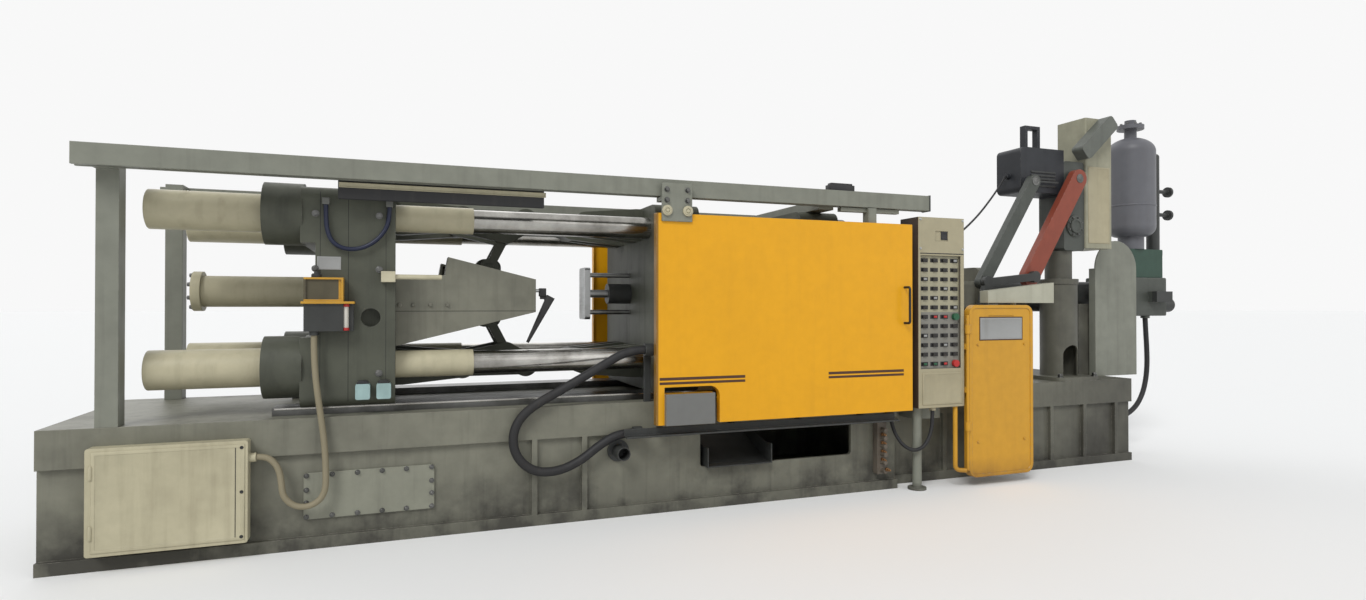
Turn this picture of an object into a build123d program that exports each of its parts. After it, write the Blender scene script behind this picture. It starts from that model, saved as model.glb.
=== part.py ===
from build123d import *
import math
import os

# A cold-chamber high pressure die casting machine, closed, with door and shot guard shut.
# Frame: +X towards the injection end, -Y the operator's side, +Z up. The origin lies on the floor,
# on the centre plane, under the die face of the fixed platen. Lengths are in millimetres.

# Closing unit
clamp_axis_z = 1290.0
tie_spacing = 790.0
tie_dia = 130.0
die_gap = 700.0
moving_platen_thick = 280.0
fixed_platen_thick = 280.0
platen_rim = 80.0
platen_top_rise = 530.0
platen_corner_radius = 60.0
tail_thick = 450.0
tail_boss_dia = 320.0
tail_boss_length = 175.0
tail_waist_cut = 70.0
tail_waist_height = 480.0
tail_core_width = 560.0
tail_core_height = 560.0
tail_core_depth = 180.0
tail_port_dia = 95.0
tail_port_depth = 60.0
tail_port_z = 1150.0
tail_port_from_face = 120.0
running_clearance = 0.08
slide_clearance = 0.3
seat_clearance = 0.3
cut_overrun = 10.0
quarter_turn = 90.0

# Toggle linkage: equal rear and front links, pins at one height above and below the axis
toggle_pin_height = 425.0
toggle_link_length = 360.0
toggle_eye_radius = 70.0
toggle_pin_dia = 70.0
toggle_lug_reach = 360.0
toggle_lug_root = 200.0
toggle_lug_sink = 40.0
toggle_waist = 92.0
link_inner_y = 98.0
link_cheek_thick = 50.0
link_gap = 2.0
link_centre_thick = 80.0
cross_pin_along = 270.0
cross_pin_drop = 75.0
cross_eye_radius = 52.0
cross_pin_dia = 50.0
cross_link_y = 46.0
cross_link_thick = 48.0
crosshead_thick = 150.0
crosshead_half_width = 44.0
crosshead_pin_height = 155.0
crosshead_pin_ahead = 530.0
crosshead_arm_height = 100.0
pin_head_dia = 96.0
pin_head_thick = 12.0

# Crosshead guides: tapered horns standing out from the tail platen, each round a guide rod
guide_y = 336.0
guide_inner_y = 288.0
guide_width = 112.0
guide_wall = 14.0
guide_length = 758.0
guide_root_down = 297.0
guide_heel_up = 90.0
guide_heel_along = 255.0
guide_knee_along = 273.0
guide_knee_up = 192.0
guide_tip_up = 74.0
guide_tip_down = 115.0
guide_rod_dia = 50.0
guide_slider_inner_y = 290.0
guide_slider_width = 92.0
guide_slider_height = 110.0

# Closing cylinder
closing_tube_dia = 170.0
closing_bore_dia = 125.0
closing_cap_dia = 215.0
closing_cap_thick = 45.0
closing_tube_length = 640.0
closing_rod_dia = 80.0
closing_piston_length = 60.0
closing_end_gap = 30.0

# Thread covers and tie bar sleeves
thread_cover_dia = 196.0
thread_cover_wall = 6.0
thread_cover_length = 505.0
thread_end_stickout = 60.0
sleeve_dia = 146.0
sleeve_wall = 6.0
sleeve_length = 406.0

# Ejector
ejector_cylinder_dia = 130.0
ejector_cylinder_length = 150.0
ejector_plate_width = 160.0
ejector_plate_height = 330.0
ejector_plate_thick = 35.0
ejector_stroke = 125.0
ejector_rod_dia = 30.0
ejector_rod_rise = 120.0
ejector_ram_dia = 50.0
ejector_margin = 5.0
ejector_fillet = 20.0

# Tie bar nuts and fixed platen
nut_dia = 215.0
nut_thick = 120.0
nut_chamfer = 8.0
tie_end_stickout = 25.0
tie_end_chamfer = 6.0
slot_width = 28.0
slot_depth = 30.0
slot_margin = 70.0
slot_offset = 150.0
locating_ring_dia = 180.0
locating_ring_depth = 12.0

# Bed
bed_top_z = 653.0
bed_half_width = 600.0
bed_left_reach = 3920.0
bed_right_reach = 698.0
bed_band_height = 180.0
bed_plate = 25.0
bed_recess = 28.0
bed_flange_height = 60.0
bed_rib_width = 30.0
bed_rib_x = (-1702.0, -1421.0)
drop_length = 560.0
drop_width = 560.0
window_left_x = -706.0
window_right_x = 355.0
window_bottom_z = 244.0
window_top_z = 455.0
window_corner = 20.0
slideway_height = 40.0
slideway_width = 170.0
slideway_y = 395.0
slideway_length = 2800.0
slideway_end_gap = 200.0
cover_plate_left_x = -2845.0
cover_plate_right_x = -2226.0
cover_plate_bottom_z = 145.0
cover_plate_top_z = 376.0
cover_plate_thick = 12.0
cover_plate_corner = 15.0

# Injection bed, set back from the main bed
shot_bed_right_x = 2990.0
shot_bed_half_width = 500.0
shot_bed_top_z = 640.0
shot_bed_rib_pitch = 330.0

# Doors and rails
door_left_x = -1044.0
door_right_x = 710.0
door_bottom_z = 533.0
door_top_z = 1738.0
door_inner_y = 700.0
door_thick = 45.0
door_sheet = 5.0
door_stiffener_width = 40.0
door_stiffeners = 3
door_foot_width = 49.0
notch_width = 341.0
notch_height = 214.0
notch_radius = 60.0
foot_box_depth = 75.0
foot_box_height = 178.0
foot_box_width = 300.0
foot_box_wall = 4.0
handle_length = 230.0
handle_rise = 55.0
handle_bar_dia = 16.0
handle_in_from_edge = 62.0
handle_mid_z = 1215.0
rail_bottom_z = 1838.0
rail_height = 98.0
rail_width = 74.0
rail_wall = 8.0
rail_slot = 30.0
rail_mid_y = 680.0
rail_left_x = -3760.0
rail_right_x = 870.0
rail_stop_length = 24.0
hanger_neck = 18.0
hanger_roller_dia = 56.0
hanger_roller_width = 24.0
hanger_plate_thick = 12.0
hanger_left_x = -1014.0
hanger_plate_length = 183.0
hanger_bottom_z = 1692.0
carriage_length = 440.0
carriage_left_x = 200.0
carriage_height = 26.0
carriage_width = 40.0
carriage_gap = 4.0
leg_width = 60.0
bottom_rail_left_x = -1215.0
bottom_rail_right_x = 608.0
bottom_rail_z = 470.0
bottom_rail_height = 45.0
bottom_rail_wall = 8.0
bottom_rail_gap = 10.0
bracket_thick = 14.0
bracket_count = 4
post_size = 90.0
post_x = -3700.0
beam_left_x = 70.0
beam_width = 110.0
beam_height = 60.0

# Left end box
end_box_right_x = -3074.0
end_box_length = 640.0
end_box_bottom_z = 84.0
end_box_top_z = 570.0
end_box_depth = 70.0
end_box_corner = 12.0
gland_dia = 44.0
gland_length = 30.0

# Lower bed fittings
chute_left_x = -680.0
chute_length = 430.0
chute_sheet = 6.0
chute_drop = 120.0
manifold_x = 560.0
manifold_width = 70.0
manifold_depth = 50.0
manifold_bottom_z = 110.0
manifold_top_z = 480.0
port_count = 6
port_dia = 30.0
port_length = 45.0
drain_x = -1220.0
drain_z = 378.0
drain_dia = 76.0
drain_length = 130.0
drain_wall = 5.0

# Control panel
panel_left_x = 745.0
panel_width = 375.0
panel_bottom_z = 545.0
panel_top_z = 1790.0
panel_front_y = 760.0
panel_depth = 190.0
panel_corner = 10.0
panel_recess_depth = 26.0
panel_recess_top_z = 1540.0
panel_recess_bottom_z = 800.0
panel_recess_left = 18.0
panel_recess_right = 34.0
panel_window_width = 100.0
panel_window_height = 66.0
panel_window_z = 1668.0
panel_window_depth = 6.0
key_rows = 12
key_columns = 4
key_dia = 30.0
key_height = 13.0
key_board_thick = 8.0
estop_dia = 46.0
estop_stem_dia = 22.0
estop_travel = 5.0
press_keys = {(11, 3): "e_stop_button", (6, 3): "start_button"}
estop_height = 22.0
key_hole_clearance = 0.4
stand_pipe_dia = 60.0
stand_arm_height = 70.0

# Shot guard
guard_left_x = 1146.0
guard_width = 550.0
guard_bottom_z = 66.0
guard_top_z = 1217.0
guard_outer_y = 770.0
guard_thick = 48.0
guard_sheet = 4.0
guard_corner = 62.0
guard_rim = 22.0
guard_rim_rise = 5.0
guard_plate_width = 215.0
guard_plate_height = 120.0
guard_plate_z = 1085.0
guard_plate_depth = 3.0
guard_post_dia = 20.0
guard_post_x = 1130.0
guard_post_y = -776.0
guard_post_bottom_z = 120.0
guard_post_top_z = 1150.0
guard_tube_dia = 30.0
guard_tube_x = 1060.0
guard_tube_y = -735.0
guard_eye_dia = 34.0
guard_eye_height = 60.0
guard_strap = 34.0
guard_strap_thick = 16.0
guard_eye_shares = (0.3, 0.86)
post_bracket_height = 40.0
post_bracket_shares = (0.55, 0.8)

# Injection unit
shot_sleeve_dia = 160.0
shot_bore_dia = 70.0
shot_sleeve_length = 640.0
shot_flange_dia = 240.0
shot_flange_thick = 40.0
pour_hole_length = 130.0
pour_hole_width = 60.0
pour_hole_x = 480.0
plunger_tip_length = 110.0
plunger_rod_dia = 52.0
plunger_rod_length = 490.0
plunger_coupling_dia = 110.0
plunger_coupling_length = 120.0
plunger_tip_x = 560.0
ram_dia = 80.0
ram_piston_length = 80.0
ram_length = 1450.0
inject_beam_y = 230.0
inject_beam_width = 110.0
inject_beam_height = 210.0
inject_beam_corner = 25.0
yoke_x = 1650.0
yoke_thick = 90.0
yoke_width = 640.0
yoke_height = 420.0
shot_cylinder_dia = 250.0
shot_cylinder_bore = 150.0
shot_cylinder_length = 1540.0
shot_collar_dia = 310.0
shot_collar_thick = 55.0
pedestal_x = (1810.0, 2800.0)
pedestal_length = 150.0
pedestal_width = 360.0
rear_block_length = 560.0
rear_block_width = 330.0
rear_block_height = 330.0
rear_block_corner = 14.0
rear_motor_dia = 130.0
rear_motor_length = 270.0
rear_motor_drop = 70.0
rear_motor_flange_dia = 170.0
rear_motor_flange = 30.0
side_valve_length = 190.0
side_valve_width = 80.0
side_valve_height = 90.0
green_block_length = 400.0
green_block_width = 280.0
green_block_top_z = 1700.0
bottle_dia = 380.0
bottle_x = 3550.0
bottle_y = -60.0
bottle_bottom_z = 1808.0
bottle_shoulder_z = 2540.0
bottle_top_z = 2670.0
bottle_neck_dia = 96.0
bottle_cap_dia = 210.0
bottle_cap_thick = 36.0
bottle_cap_z = 2740.0
bottle_knob_dia = 90.0
bottle_knob_z = 2820.0
bottle_foot_dia = 200.0
slim_x = 3900.0
slim_dia = 104.0
slim_bottom_z = 1700.0
slim_seat = 40.0
slim_top_z = 2564.0
slim_y = 0.0
valve_tree_dia = 34.0
valve_tree_reach = 150.0
valve_wheel_dia = 92.0
valve_wheel_thick = 22.0
valve_tree_shares = (0.38, 0.62)
screen_left_x = 2889.0
screen_width = 464.0
screen_bottom_z = 640.0
screen_top_z = 1746.0
screen_y = -262.0
screen_thick = 10.0
screen_round = 230.0
screen_flange = 60.0

# Ladler
column_x = 2460.0
column_y = -290.0
column_dia = 270.0
column_wall = 14.0
column_top_z = 1420.0
column_neck_dia = 195.0
column_neck_top_z = 1640.0
column_collar_dia = 286.0
column_collar_thick = 40.0
column_foot = 420.0
column_foot_thick = 28.0
arch_width = 150.0
arch_height = 240.0
head_left_x = 2390.0
head_right_x = 2600.0
head_top_z = 2330.0
head_half_width = 120.0
head_corner = 25.0
drive_left_x = 1960.0
drive_bottom_z = 2070.0
drive_top_z = 2410.0
drive_corner = 40.0
tower_right_x = 2880.0
tower_bottom_z = 1661.0
tower_top_z = 2680.0
tower_half_width = 135.0
tower_corner = 12.0
boom_width = 120.0
boom_thick = 100.0
boom_left_x = 2440.0
boom_right_x = 2840.0
boom_left_z = 2330.0
boom_right_z = 2690.0
hoop_height = 190.0
hoop_width = 150.0
hoop_bar = 26.0
arm_length = 900.0
arm_lean = 32.5
main_pivot_x = 2459.0
main_pivot_z = 2184.0
link_pivot_x = 2019.0
link_pivot_z = 2139.0
arm_back_y = -440.0
arm_thick = 56.0
main_arm_width = 140.0
link_arm_width = 92.0
arm_pin_dia = 40.0
arm_boss_dia = 90.0
coupler_gap = 4.0
coupler_thick = 40.0
coupler_width = 84.0
hanger_drop = 210.0
hanger_ahead = 60.0
hanger_width = 90.0
ladle_pin_dia = 24.0
ladle_dia = 112.0
ladle_foot_dia = 86.0
ladle_height = 140.0
ladle_wall = 9.0
ladle_gap = 3.0
ladle_ear = 44.0
ladle_lift = 22.0

# Pour tray on its own post
tray_left_x = 1332.0
tray_right_x = 1921.0
tray_bottom_z = 1231.0
tray_left_top_z = 1313.0
tray_right_top_z = 1375.0
tray_front_y = -745.0
tray_back_y = -668.0
tray_sheet = 5.0
tray_post_x = 1600.0
tray_post_dia = 40.0
tray_post_y = -694.0
tray_post_z = 420.0

# Fittings on the tail platen
oiler_left_from_face = 425.0
oiler_bottom_z = 1083.0
oiler_width = 180.0
oiler_body_height = 138.0
oiler_body_depth = 80.0
oiler_shelf = 12.0
oiler_shelf_overhang = 52.0
oiler_tank_height = 120.0
oiler_tank_wall = 10.0
oiler_gauge_width = 46.0
oiler_gauge_depth = 50.0
switch_rod_dia = 26.0
switch_rod_length = 230.0
switch_rod_z = 1362.0
switch_block_length = 70.0
switch_block_height = 56.0
switch_block_depth = 50.0
socket_box_width = 70.0
socket_box_height = 80.0
socket_box_depth = 60.0
socket_box_pitch = 100.0
socket_box_z = 772.0
socket_box_from_face = 190.0
socket_box_corner = 10.0

# Hoses and cables: diameters, glands and the points of each route
bed_hose_dia = 50.0
bed_hose_route = [(-1080, -640, 958), (-1180, -640, 958), (-1345, -640, 865), (-1560, -642, 748),
                  (-1753, -645, 648), (-1830, -645, 538), (-1819, -645, 404), (-1723, -645, 308),
                  (-1589, -645, 297), (-1460, -645, 345), (-1345, -642, 430), (-1235, -640, 486),
                  (-1150, -640, 486)]
hose_socket_dia = 70.0
hose_socket_length = 50.0
hose_socket_block = 40.0
hose_upright_thick = 15.0
tail_cable_dia = 30.0
tail_cable_route = [(-2800, -592, 1062.7), (-2800, -592, 975), (-2790, -610, 840), (-2768, -634, 690),
                    (-2748, -642, 545), (-2740, -642, 410), (-2740, -642, 281), (-2796, -642, 225),
                    (-2874, -642, 225), (-2930, -642, 281), (-2936, -640, 355), (-2948, -638, 420),
                    (-2980, -636, 466), (-3016, -635, 482), (-3044, -635, 482)]
tail_hose_dia = 22.0
# Each place is along the machine, out from the tail platen's side, and up
tail_hose_places = [(-2750, 25, 1724), (-2750, 25, 1668), (-2746, 26, 1600), (-2724, 28, 1536),
                    (-2668, 28, 1500), (-2590, 28, 1502), (-2520, 27, 1540), (-2470, 26, 1600),
                    (-2450, 25, 1668), (-2450, 25, 1724)]
tail_hose_socket = 34.0
panel_cable_dia = 24.0
panel_cable_route = [(880, -728, 525), (879, -729, 445), (860, -730, 360), (815, -728, 290), (750, -712, 262),
                     (690, -685, 290), (650, -660, 350), (630, -645, 410), (620, -640, 460)]
cable_clip_length = 50.0
rear_hose_dia = 40.0
rear_hose_route = [(3640, -120, 1105), (3645, -122, 985), (3652, -125, 850), (3652, -128, 715),
                   (3635, -130, 585), (3590, -135, 465), (3515, -140, 365), (3410, -145, 300),
                   (3285, -148, 262), (3148, -150, 250), (3020, -150, 250)]
ladler_cable_dia = 14.0
ladler_cable_route = [(1140, -665, 1690), (1258, -609, 1746), (1377, -552, 1809), (1496, -496, 1879),
                      (1614, -440, 1958), (1732, -384, 2042), (1851, -328, 2135), (1930, -290, 2200)]
bend_share = 0.45

clamp_half = tie_spacing / 2
platen_width = tie_spacing + tie_dia + 2 * platen_rim
tail_hose_route = [(x, -platen_width / 2 - out, z) for x, out, z in tail_hose_places]
moving_face_x = -die_gap
moving_back_x = moving_face_x - moving_platen_thick
front_pin_x = moving_back_x - toggle_lug_reach
knee_pin_x = front_pin_x - toggle_link_length
rear_pin_x = knee_pin_x - toggle_link_length
tail_face_x = rear_pin_x - toggle_lug_reach
tail_back_x = tail_face_x - tail_thick
boss_back_x = tail_back_x - tail_boss_length
slideway_top_z = bed_top_z + slideway_height
platen_bottom_z = slideway_top_z + slide_clearance
platen_top_z = clamp_axis_z + platen_top_rise
link_centre_y = link_inner_y + link_cheek_thick + link_gap
link_outer_y = link_centre_y + link_centre_thick + link_gap
link_far_y = link_outer_y + link_cheek_thick
crosshead_mid_x = tail_face_x + crosshead_pin_ahead
tie_corners = [(sy * clamp_half, clamp_axis_z + sz * clamp_half) for sy in (-1, 1) for sz in (1, -1)]


def block(x0, x1, y0, y1, z0, z1):
    return Pos((x0 + x1) / 2, (y0 + y1) / 2, (z0 + z1) / 2) * Box(x1 - x0, y1 - y0, z1 - z0)


def rod_x(dia, x0, x1, y, z):
    return Pos((x0 + x1) / 2, y, z) * Rot(0, 90, 0) * Cylinder(dia / 2, x1 - x0)


def rod_y(dia, y0, y1, x, z):
    return Pos(x, (y0 + y1) / 2, z) * Rot(90, 0, 0) * Cylinder(dia / 2, y1 - y0)


def rod_z(dia, z0, z1, x, y):
    return Pos(x, y, (z0 + z1) / 2) * Cylinder(dia / 2, z1 - z0)


# A flat outline drawn in X and Z, Y and Z or X and Y, given its thickness along the third axis
def plate_xz(outline, y0, y1):
    return Pos(0, y1, 0) * extrude(Plane.XZ * outline, y1 - y0)


def plate_yz(outline, x0, x1):
    return Pos(x0, 0, 0) * extrude(Plane.YZ * outline, x1 - x0)


def plate_xy(outline, z0, z1):
    return Pos(0, 0, z0) * extrude(Plane.XY * outline, z1 - z0)


def outline_of(points):
    return make_face(Polyline(*points, close=True))


def both_sides(solid):
    return [solid, mirror(solid, about=Plane.XZ)]


def lower_of(solid):
    return mirror(solid, about=Plane.XY.offset(clamp_axis_z))


def fused(pieces):
    whole = pieces[0]
    for piece in pieces[1:]:
        whole = whole + piece
    return whole


def loose(dia):
    return dia + 2 * running_clearance


def platen_outline(bottom_z):
    height = platen_top_z - bottom_z
    return Pos(0, bottom_z + height / 2) * RectangleRounded(platen_width, height, platen_corner_radius)


def tie_bores(x0, x1):
    return [rod_x(loose(tie_dia), x0, x1, y, z) for y, z in tie_corners]


# A lug that tapers from its root on a platen face to the eye round a toggle pin
def toggle_lug(face_x, pin_x, y0, y1):
    z = clamp_axis_z + toggle_pin_height
    eye = Pos(pin_x, z) * Circle(toggle_eye_radius)
    root = Pos(face_x, z) * Rectangle(2 * toggle_lug_sink, toggle_lug_root)
    outline = make_hull(eye.edges() + root.edges())
    outline = outline - Pos(pin_x, z) * Circle(loose(toggle_pin_dia) / 2)
    return plate_xz(outline, y0, y1)


def four_lugs(face_x, pin_x, y0, y1):
    upper = both_sides(toggle_lug(face_x, pin_x, y0, y1))
    return upper + [lower_of(lug) for lug in upper]


def tail_platen():
    body = plate_yz(platen_outline(platen_bottom_z), tail_back_x, tail_face_x)
    waist_half = tail_waist_height / 2
    waist = block(tail_back_x - cut_overrun, tail_back_x + tail_waist_cut, -platen_width, platen_width,
                  clamp_axis_z - waist_half, clamp_axis_z + waist_half)
    body = body - waist
    bosses = [rod_x(tail_boss_dia, boss_back_x, tail_back_x + cut_overrun, y, z) for y, z in tie_corners]
    body = fused([body] + bosses + four_lugs(tail_face_x, rear_pin_x, link_centre_y,
                                             link_centre_y + link_centre_thick))
    core = Pos(0, clamp_axis_z) * RectangleRounded(tail_core_width, tail_core_height, platen_corner_radius)
    body = body - plate_yz(core, tail_face_x - tail_core_depth, tail_face_x + cut_overrun)
    rod_way = rod_x(loose(closing_rod_dia), tail_back_x, tail_face_x, 0, clamp_axis_z)
    front_y = -platen_width / 2
    port = rod_y(tail_port_dia, front_y - cut_overrun, front_y + tail_port_depth, tail_face_x - tail_port_from_face,
                 tail_port_z)
    for bore in tie_bores(boss_back_x - cut_overrun, tail_face_x + cut_overrun) + [rod_way, port]:
        body = body - bore
    return body


# Hydraulic cylinder behind the tail platen, open inside for its piston
def closing_cylinder():
    x1 = tail_back_x + tail_waist_cut
    x0 = x1 - closing_tube_length
    body = rod_x(closing_tube_dia, x0, x1, 0, clamp_axis_z)
    body = body + rod_x(closing_cap_dia, x1 - closing_cap_thick, x1, 0, clamp_axis_z)
    body = body + rod_x(closing_cap_dia, x0, x0 + closing_cap_thick, 0, clamp_axis_z)
    bore = rod_x(closing_bore_dia, x0 + closing_cap_thick, x1 - closing_cap_thick, 0, clamp_axis_z)
    way = rod_x(loose(closing_rod_dia), x1 - 2 * closing_cap_thick, x1 + cut_overrun, 0, clamp_axis_z)
    return body - bore - way


def closing_rod():
    x1 = crosshead_mid_x - crosshead_thick / 2
    piston_x1 = tail_back_x + tail_waist_cut - closing_cap_thick - closing_end_gap
    piston_x0 = piston_x1 - closing_piston_length
    rod = rod_x(closing_rod_dia, piston_x0, x1, 0, clamp_axis_z)
    return rod + rod_x(closing_bore_dia - 2 * running_clearance, piston_x0, piston_x1, 0, clamp_axis_z)


# Closed tubes over the threaded ends of the tie bars
def thread_covers():
    x0 = boss_back_x - thread_cover_length
    inner = thread_cover_dia - 2 * thread_cover_wall
    covers = []
    for y, z in tie_corners:
        cover = rod_x(thread_cover_dia, x0, boss_back_x, y, z)
        end = cover.faces().sort_by(Axis.X)[0]
        cover = fillet(end.edges(), thread_cover_wall)
        covers.append(cover - rod_x(inner, x0 + thread_cover_wall, boss_back_x + cut_overrun, y, z))
    return covers


def tie_bar_sleeves():
    inner = sleeve_dia - 2 * sleeve_wall
    x1 = tail_face_x + sleeve_length
    return [rod_x(sleeve_dia, tail_face_x, x1, y, z) - rod_x(inner, tail_face_x - cut_overrun, x1 + cut_overrun, y, z)
            for y, z in tie_corners]


# Tapered horns, open towards the middle, each closed round by a rim and holding a guide rod
def crosshead_guides():
    points = [(0, -guide_root_down), (0, guide_heel_up), (guide_heel_along, guide_heel_up),
              (guide_knee_along, guide_knee_up), (guide_length, guide_tip_up), (guide_length, -guide_tip_down)]
    outline = Pos(tail_face_x, clamp_axis_z) * outline_of(points)
    outer_y = guide_inner_y + guide_width
    shell = plate_xz(outline, guide_inner_y, outer_y)
    pocket = plate_xz(offset(outline, -guide_wall), guide_inner_y - cut_overrun, outer_y - guide_wall)
    rod = rod_x(guide_rod_dia, tail_face_x, tail_face_x + guide_length - guide_wall, guide_y, clamp_axis_z)
    return both_sides(shell - pocket + rod)


def crosshead():
    x0 = crosshead_mid_x - crosshead_thick / 2
    x1 = x0 + crosshead_thick
    rise = crosshead_pin_height + cross_eye_radius
    body = block(x0, x1, -crosshead_half_width, crosshead_half_width, clamp_axis_z - rise, clamp_axis_z + rise)
    corner = [edge for edge in body.edges().filter_by(Axis.Y)]
    body = fillet(corner, cross_eye_radius)
    slider_y = guide_slider_inner_y + guide_slider_width
    arm = block(x0, x1, -slider_y, slider_y, clamp_axis_z - crosshead_arm_height / 2,
                clamp_axis_z + crosshead_arm_height / 2)
    slider = block(x0, x1, guide_slider_inner_y, slider_y, clamp_axis_z - guide_slider_height / 2,
                   clamp_axis_z + guide_slider_height / 2)
    body = fused([body, arm] + both_sides(slider))
    for side in (-1, 1):
        body = body - rod_x(loose(guide_rod_dia), x0 - cut_overrun, x1 + cut_overrun, side * guide_y, clamp_axis_z)
        body = body - rod_y(loose(cross_pin_dia), -platen_width, platen_width, crosshead_mid_x,
                            clamp_axis_z + side * crosshead_pin_height)
    return body


def crosshead_pins():
    reach = cross_link_y + cross_link_thick + link_gap
    return [rod_y(cross_pin_dia, -reach, reach, crosshead_mid_x, clamp_axis_z + side * crosshead_pin_height)
            for side in (-1, 1)]


# Waisted link between two eyes of one radius
def link_outline(x0, z0, x1, z1, eye_radius, waist):
    run = Vector(x1 - x0, z1 - z0)
    turn = math.degrees(math.atan2(run.Y, run.X))
    bar = Pos((x0 + x1) / 2, (z0 + z1) / 2) * Rot(0, 0, turn) * Rectangle(run.length, waist)
    return bar + Pos(x0, z0) * Circle(eye_radius) + Pos(x1, z1) * Circle(eye_radius)


# Rear link: four cheeks, triangular towards the crosshead link, joined by the knee pin and two webs
def rear_link():
    z = clamp_axis_z + toggle_pin_height
    cross_x = rear_pin_x + cross_pin_along
    cross_z = z - cross_pin_drop
    eyes = [(rear_pin_x, z, toggle_eye_radius), (knee_pin_x, z, toggle_eye_radius), (cross_x, cross_z, cross_eye_radius)]
    circles = [Pos(x, height) * Circle(radius) for x, height, radius in eyes]
    inner = make_hull([edge for circle in circles for edge in circle.edges()])
    outer = link_outline(rear_pin_x, z, knee_pin_x, z, toggle_eye_radius, toggle_waist)
    pin_hole = Pos(rear_pin_x, z) * Circle(loose(toggle_pin_dia) / 2)
    inner_cheek = plate_xz(inner - pin_hole, link_inner_y, link_inner_y + link_cheek_thick)
    outer_cheek = plate_xz(outer - pin_hole, link_outer_y, link_far_y)
    knee = rod_y(toggle_pin_dia, -link_inner_y - link_cheek_thick, link_inner_y + link_cheek_thick, knee_pin_x, z)
    return [fused([knee] + both_sides(inner_cheek))] + both_sides(outer_cheek)


def front_link():
    z = clamp_axis_z + toggle_pin_height
    outline = link_outline(knee_pin_x, z, front_pin_x, z, toggle_eye_radius, toggle_waist)
    outline = outline - Pos(front_pin_x, z) * Circle(loose(toggle_pin_dia) / 2)
    return both_sides(plate_xz(outline, link_centre_y, link_centre_y + link_centre_thick))


def cross_link():
    z0 = clamp_axis_z + crosshead_pin_height
    x1 = rear_pin_x + cross_pin_along
    z1 = clamp_axis_z + toggle_pin_height - cross_pin_drop
    outline = link_outline(crosshead_mid_x, z0, x1, z1, cross_eye_radius, cross_eye_radius)
    outline = outline - Pos(crosshead_mid_x, z0) * Circle(loose(cross_pin_dia) / 2)
    return both_sides(plate_xz(outline, cross_link_y, cross_link_y + cross_link_thick))


def toggle_pins(pin_x):
    z = clamp_axis_z + toggle_pin_height
    pin = rod_y(toggle_pin_dia, link_inner_y, link_far_y, pin_x, z)
    head = rod_y(pin_head_dia, link_far_y + link_gap, link_far_y + link_gap + pin_head_thick, pin_x, z)
    neck = rod_y(toggle_pin_dia, link_far_y, link_far_y + link_gap, pin_x, z)
    upper = both_sides(pin + neck + head)
    return upper + [lower_of(pin) for pin in upper]


# Grooves across a die face for the clamps of a die
def die_slots(face_x, into):
    x0 = min(face_x, face_x + into * slot_depth)
    length = platen_top_rise - slot_margin
    grooves = []
    for side in (-1, 1):
        for row in (-1, 1):
            z = clamp_axis_z + row * slot_offset
            y = side * (platen_width / 2 - length / 2)
            grooves.append(Pos(x0 + slot_depth / 2, y, z) * Box(slot_depth, length, slot_width))
    return grooves


def ejector_places():
    return [clamp_axis_z + side * ejector_rod_rise for side in (-1, 1)]


def moving_platen():
    body = plate_yz(platen_outline(platen_bottom_z), moving_back_x, moving_face_x)
    lugs = four_lugs(moving_back_x, front_pin_x, link_inner_y, link_inner_y + link_cheek_thick)
    lugs += four_lugs(moving_back_x, front_pin_x, link_outer_y, link_far_y)
    body = fused([body] + lugs)
    for bore in tie_bores(moving_back_x - cut_overrun, moving_face_x + cut_overrun):
        body = body - bore
    for z in ejector_places():
        body = body - rod_x(loose(ejector_rod_dia), moving_back_x - cut_overrun, moving_face_x + cut_overrun, 0, z)
    for groove in die_slots(moving_face_x, -1):
        body = body - groove
    return body


def ejector_cylinder():
    x0 = moving_back_x - ejector_cylinder_length
    body = rod_x(ejector_cylinder_dia, x0, moving_back_x, 0, clamp_axis_z)
    gland_end = x0 + 2 * ejector_margin
    gland = rod_x(loose(ejector_ram_dia), x0 - cut_overrun, gland_end, 0, clamp_axis_z)
    chamber = rod_x(ejector_ram_dia + 2 * ejector_margin, gland_end, moving_back_x - ejector_margin, 0, clamp_axis_z)
    return body - gland - chamber


def ejector_plate():
    x1 = moving_back_x - ejector_cylinder_length - ejector_stroke - ejector_margin
    x0 = x1 - ejector_plate_thick
    outline = Pos(0, clamp_axis_z) * RectangleRounded(ejector_plate_width, ejector_plate_height, ejector_fillet)
    ram_end = moving_back_x - ejector_stroke - 2 * ejector_margin
    ram = rod_x(ejector_ram_dia, x0, ram_end, 0, clamp_axis_z)
    rods = [rod_x(ejector_rod_dia, x0, moving_face_x - ejector_margin, 0, z) for z in ejector_places()]
    return fused([plate_yz(outline, x0, x1), ram] + rods)


def fixed_platen():
    body = plate_yz(platen_outline(bed_top_z), 0, fixed_platen_thick)
    for bore in tie_bores(-cut_overrun, fixed_platen_thick + cut_overrun):
        body = body - bore
    for groove in die_slots(0, 1):
        body = body - groove
    sleeve_way = rod_x(loose(shot_sleeve_dia), -cut_overrun, fixed_platen_thick + cut_overrun, 0, clamp_axis_z)
    ring = rod_x(locating_ring_dia, -cut_overrun, locating_ring_depth, 0, clamp_axis_z)
    return body - sleeve_way - ring


def tie_bar(y, z):
    x0 = boss_back_x - thread_end_stickout
    x1 = fixed_platen_thick + nut_thick + tie_end_stickout
    bar = rod_x(tie_dia, x0, x1, y, z)
    ends = bar.faces().filter_by(Axis.X)
    return chamfer([edge for end in ends for edge in end.edges()], tie_end_chamfer)


def tie_bar_nuts():
    x0 = fixed_platen_thick
    nuts = []
    for y, z in tie_corners:
        nut = rod_x(nut_dia, x0, x0 + nut_thick, y, z)
        nut = chamfer(nut.faces().sort_by(Axis.X)[-1].edges(), nut_chamfer)
        nuts.append(nut - rod_x(loose(tie_dia), x0 - cut_overrun, x0 + nut_thick + cut_overrun, y, z))
    return nuts


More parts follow.
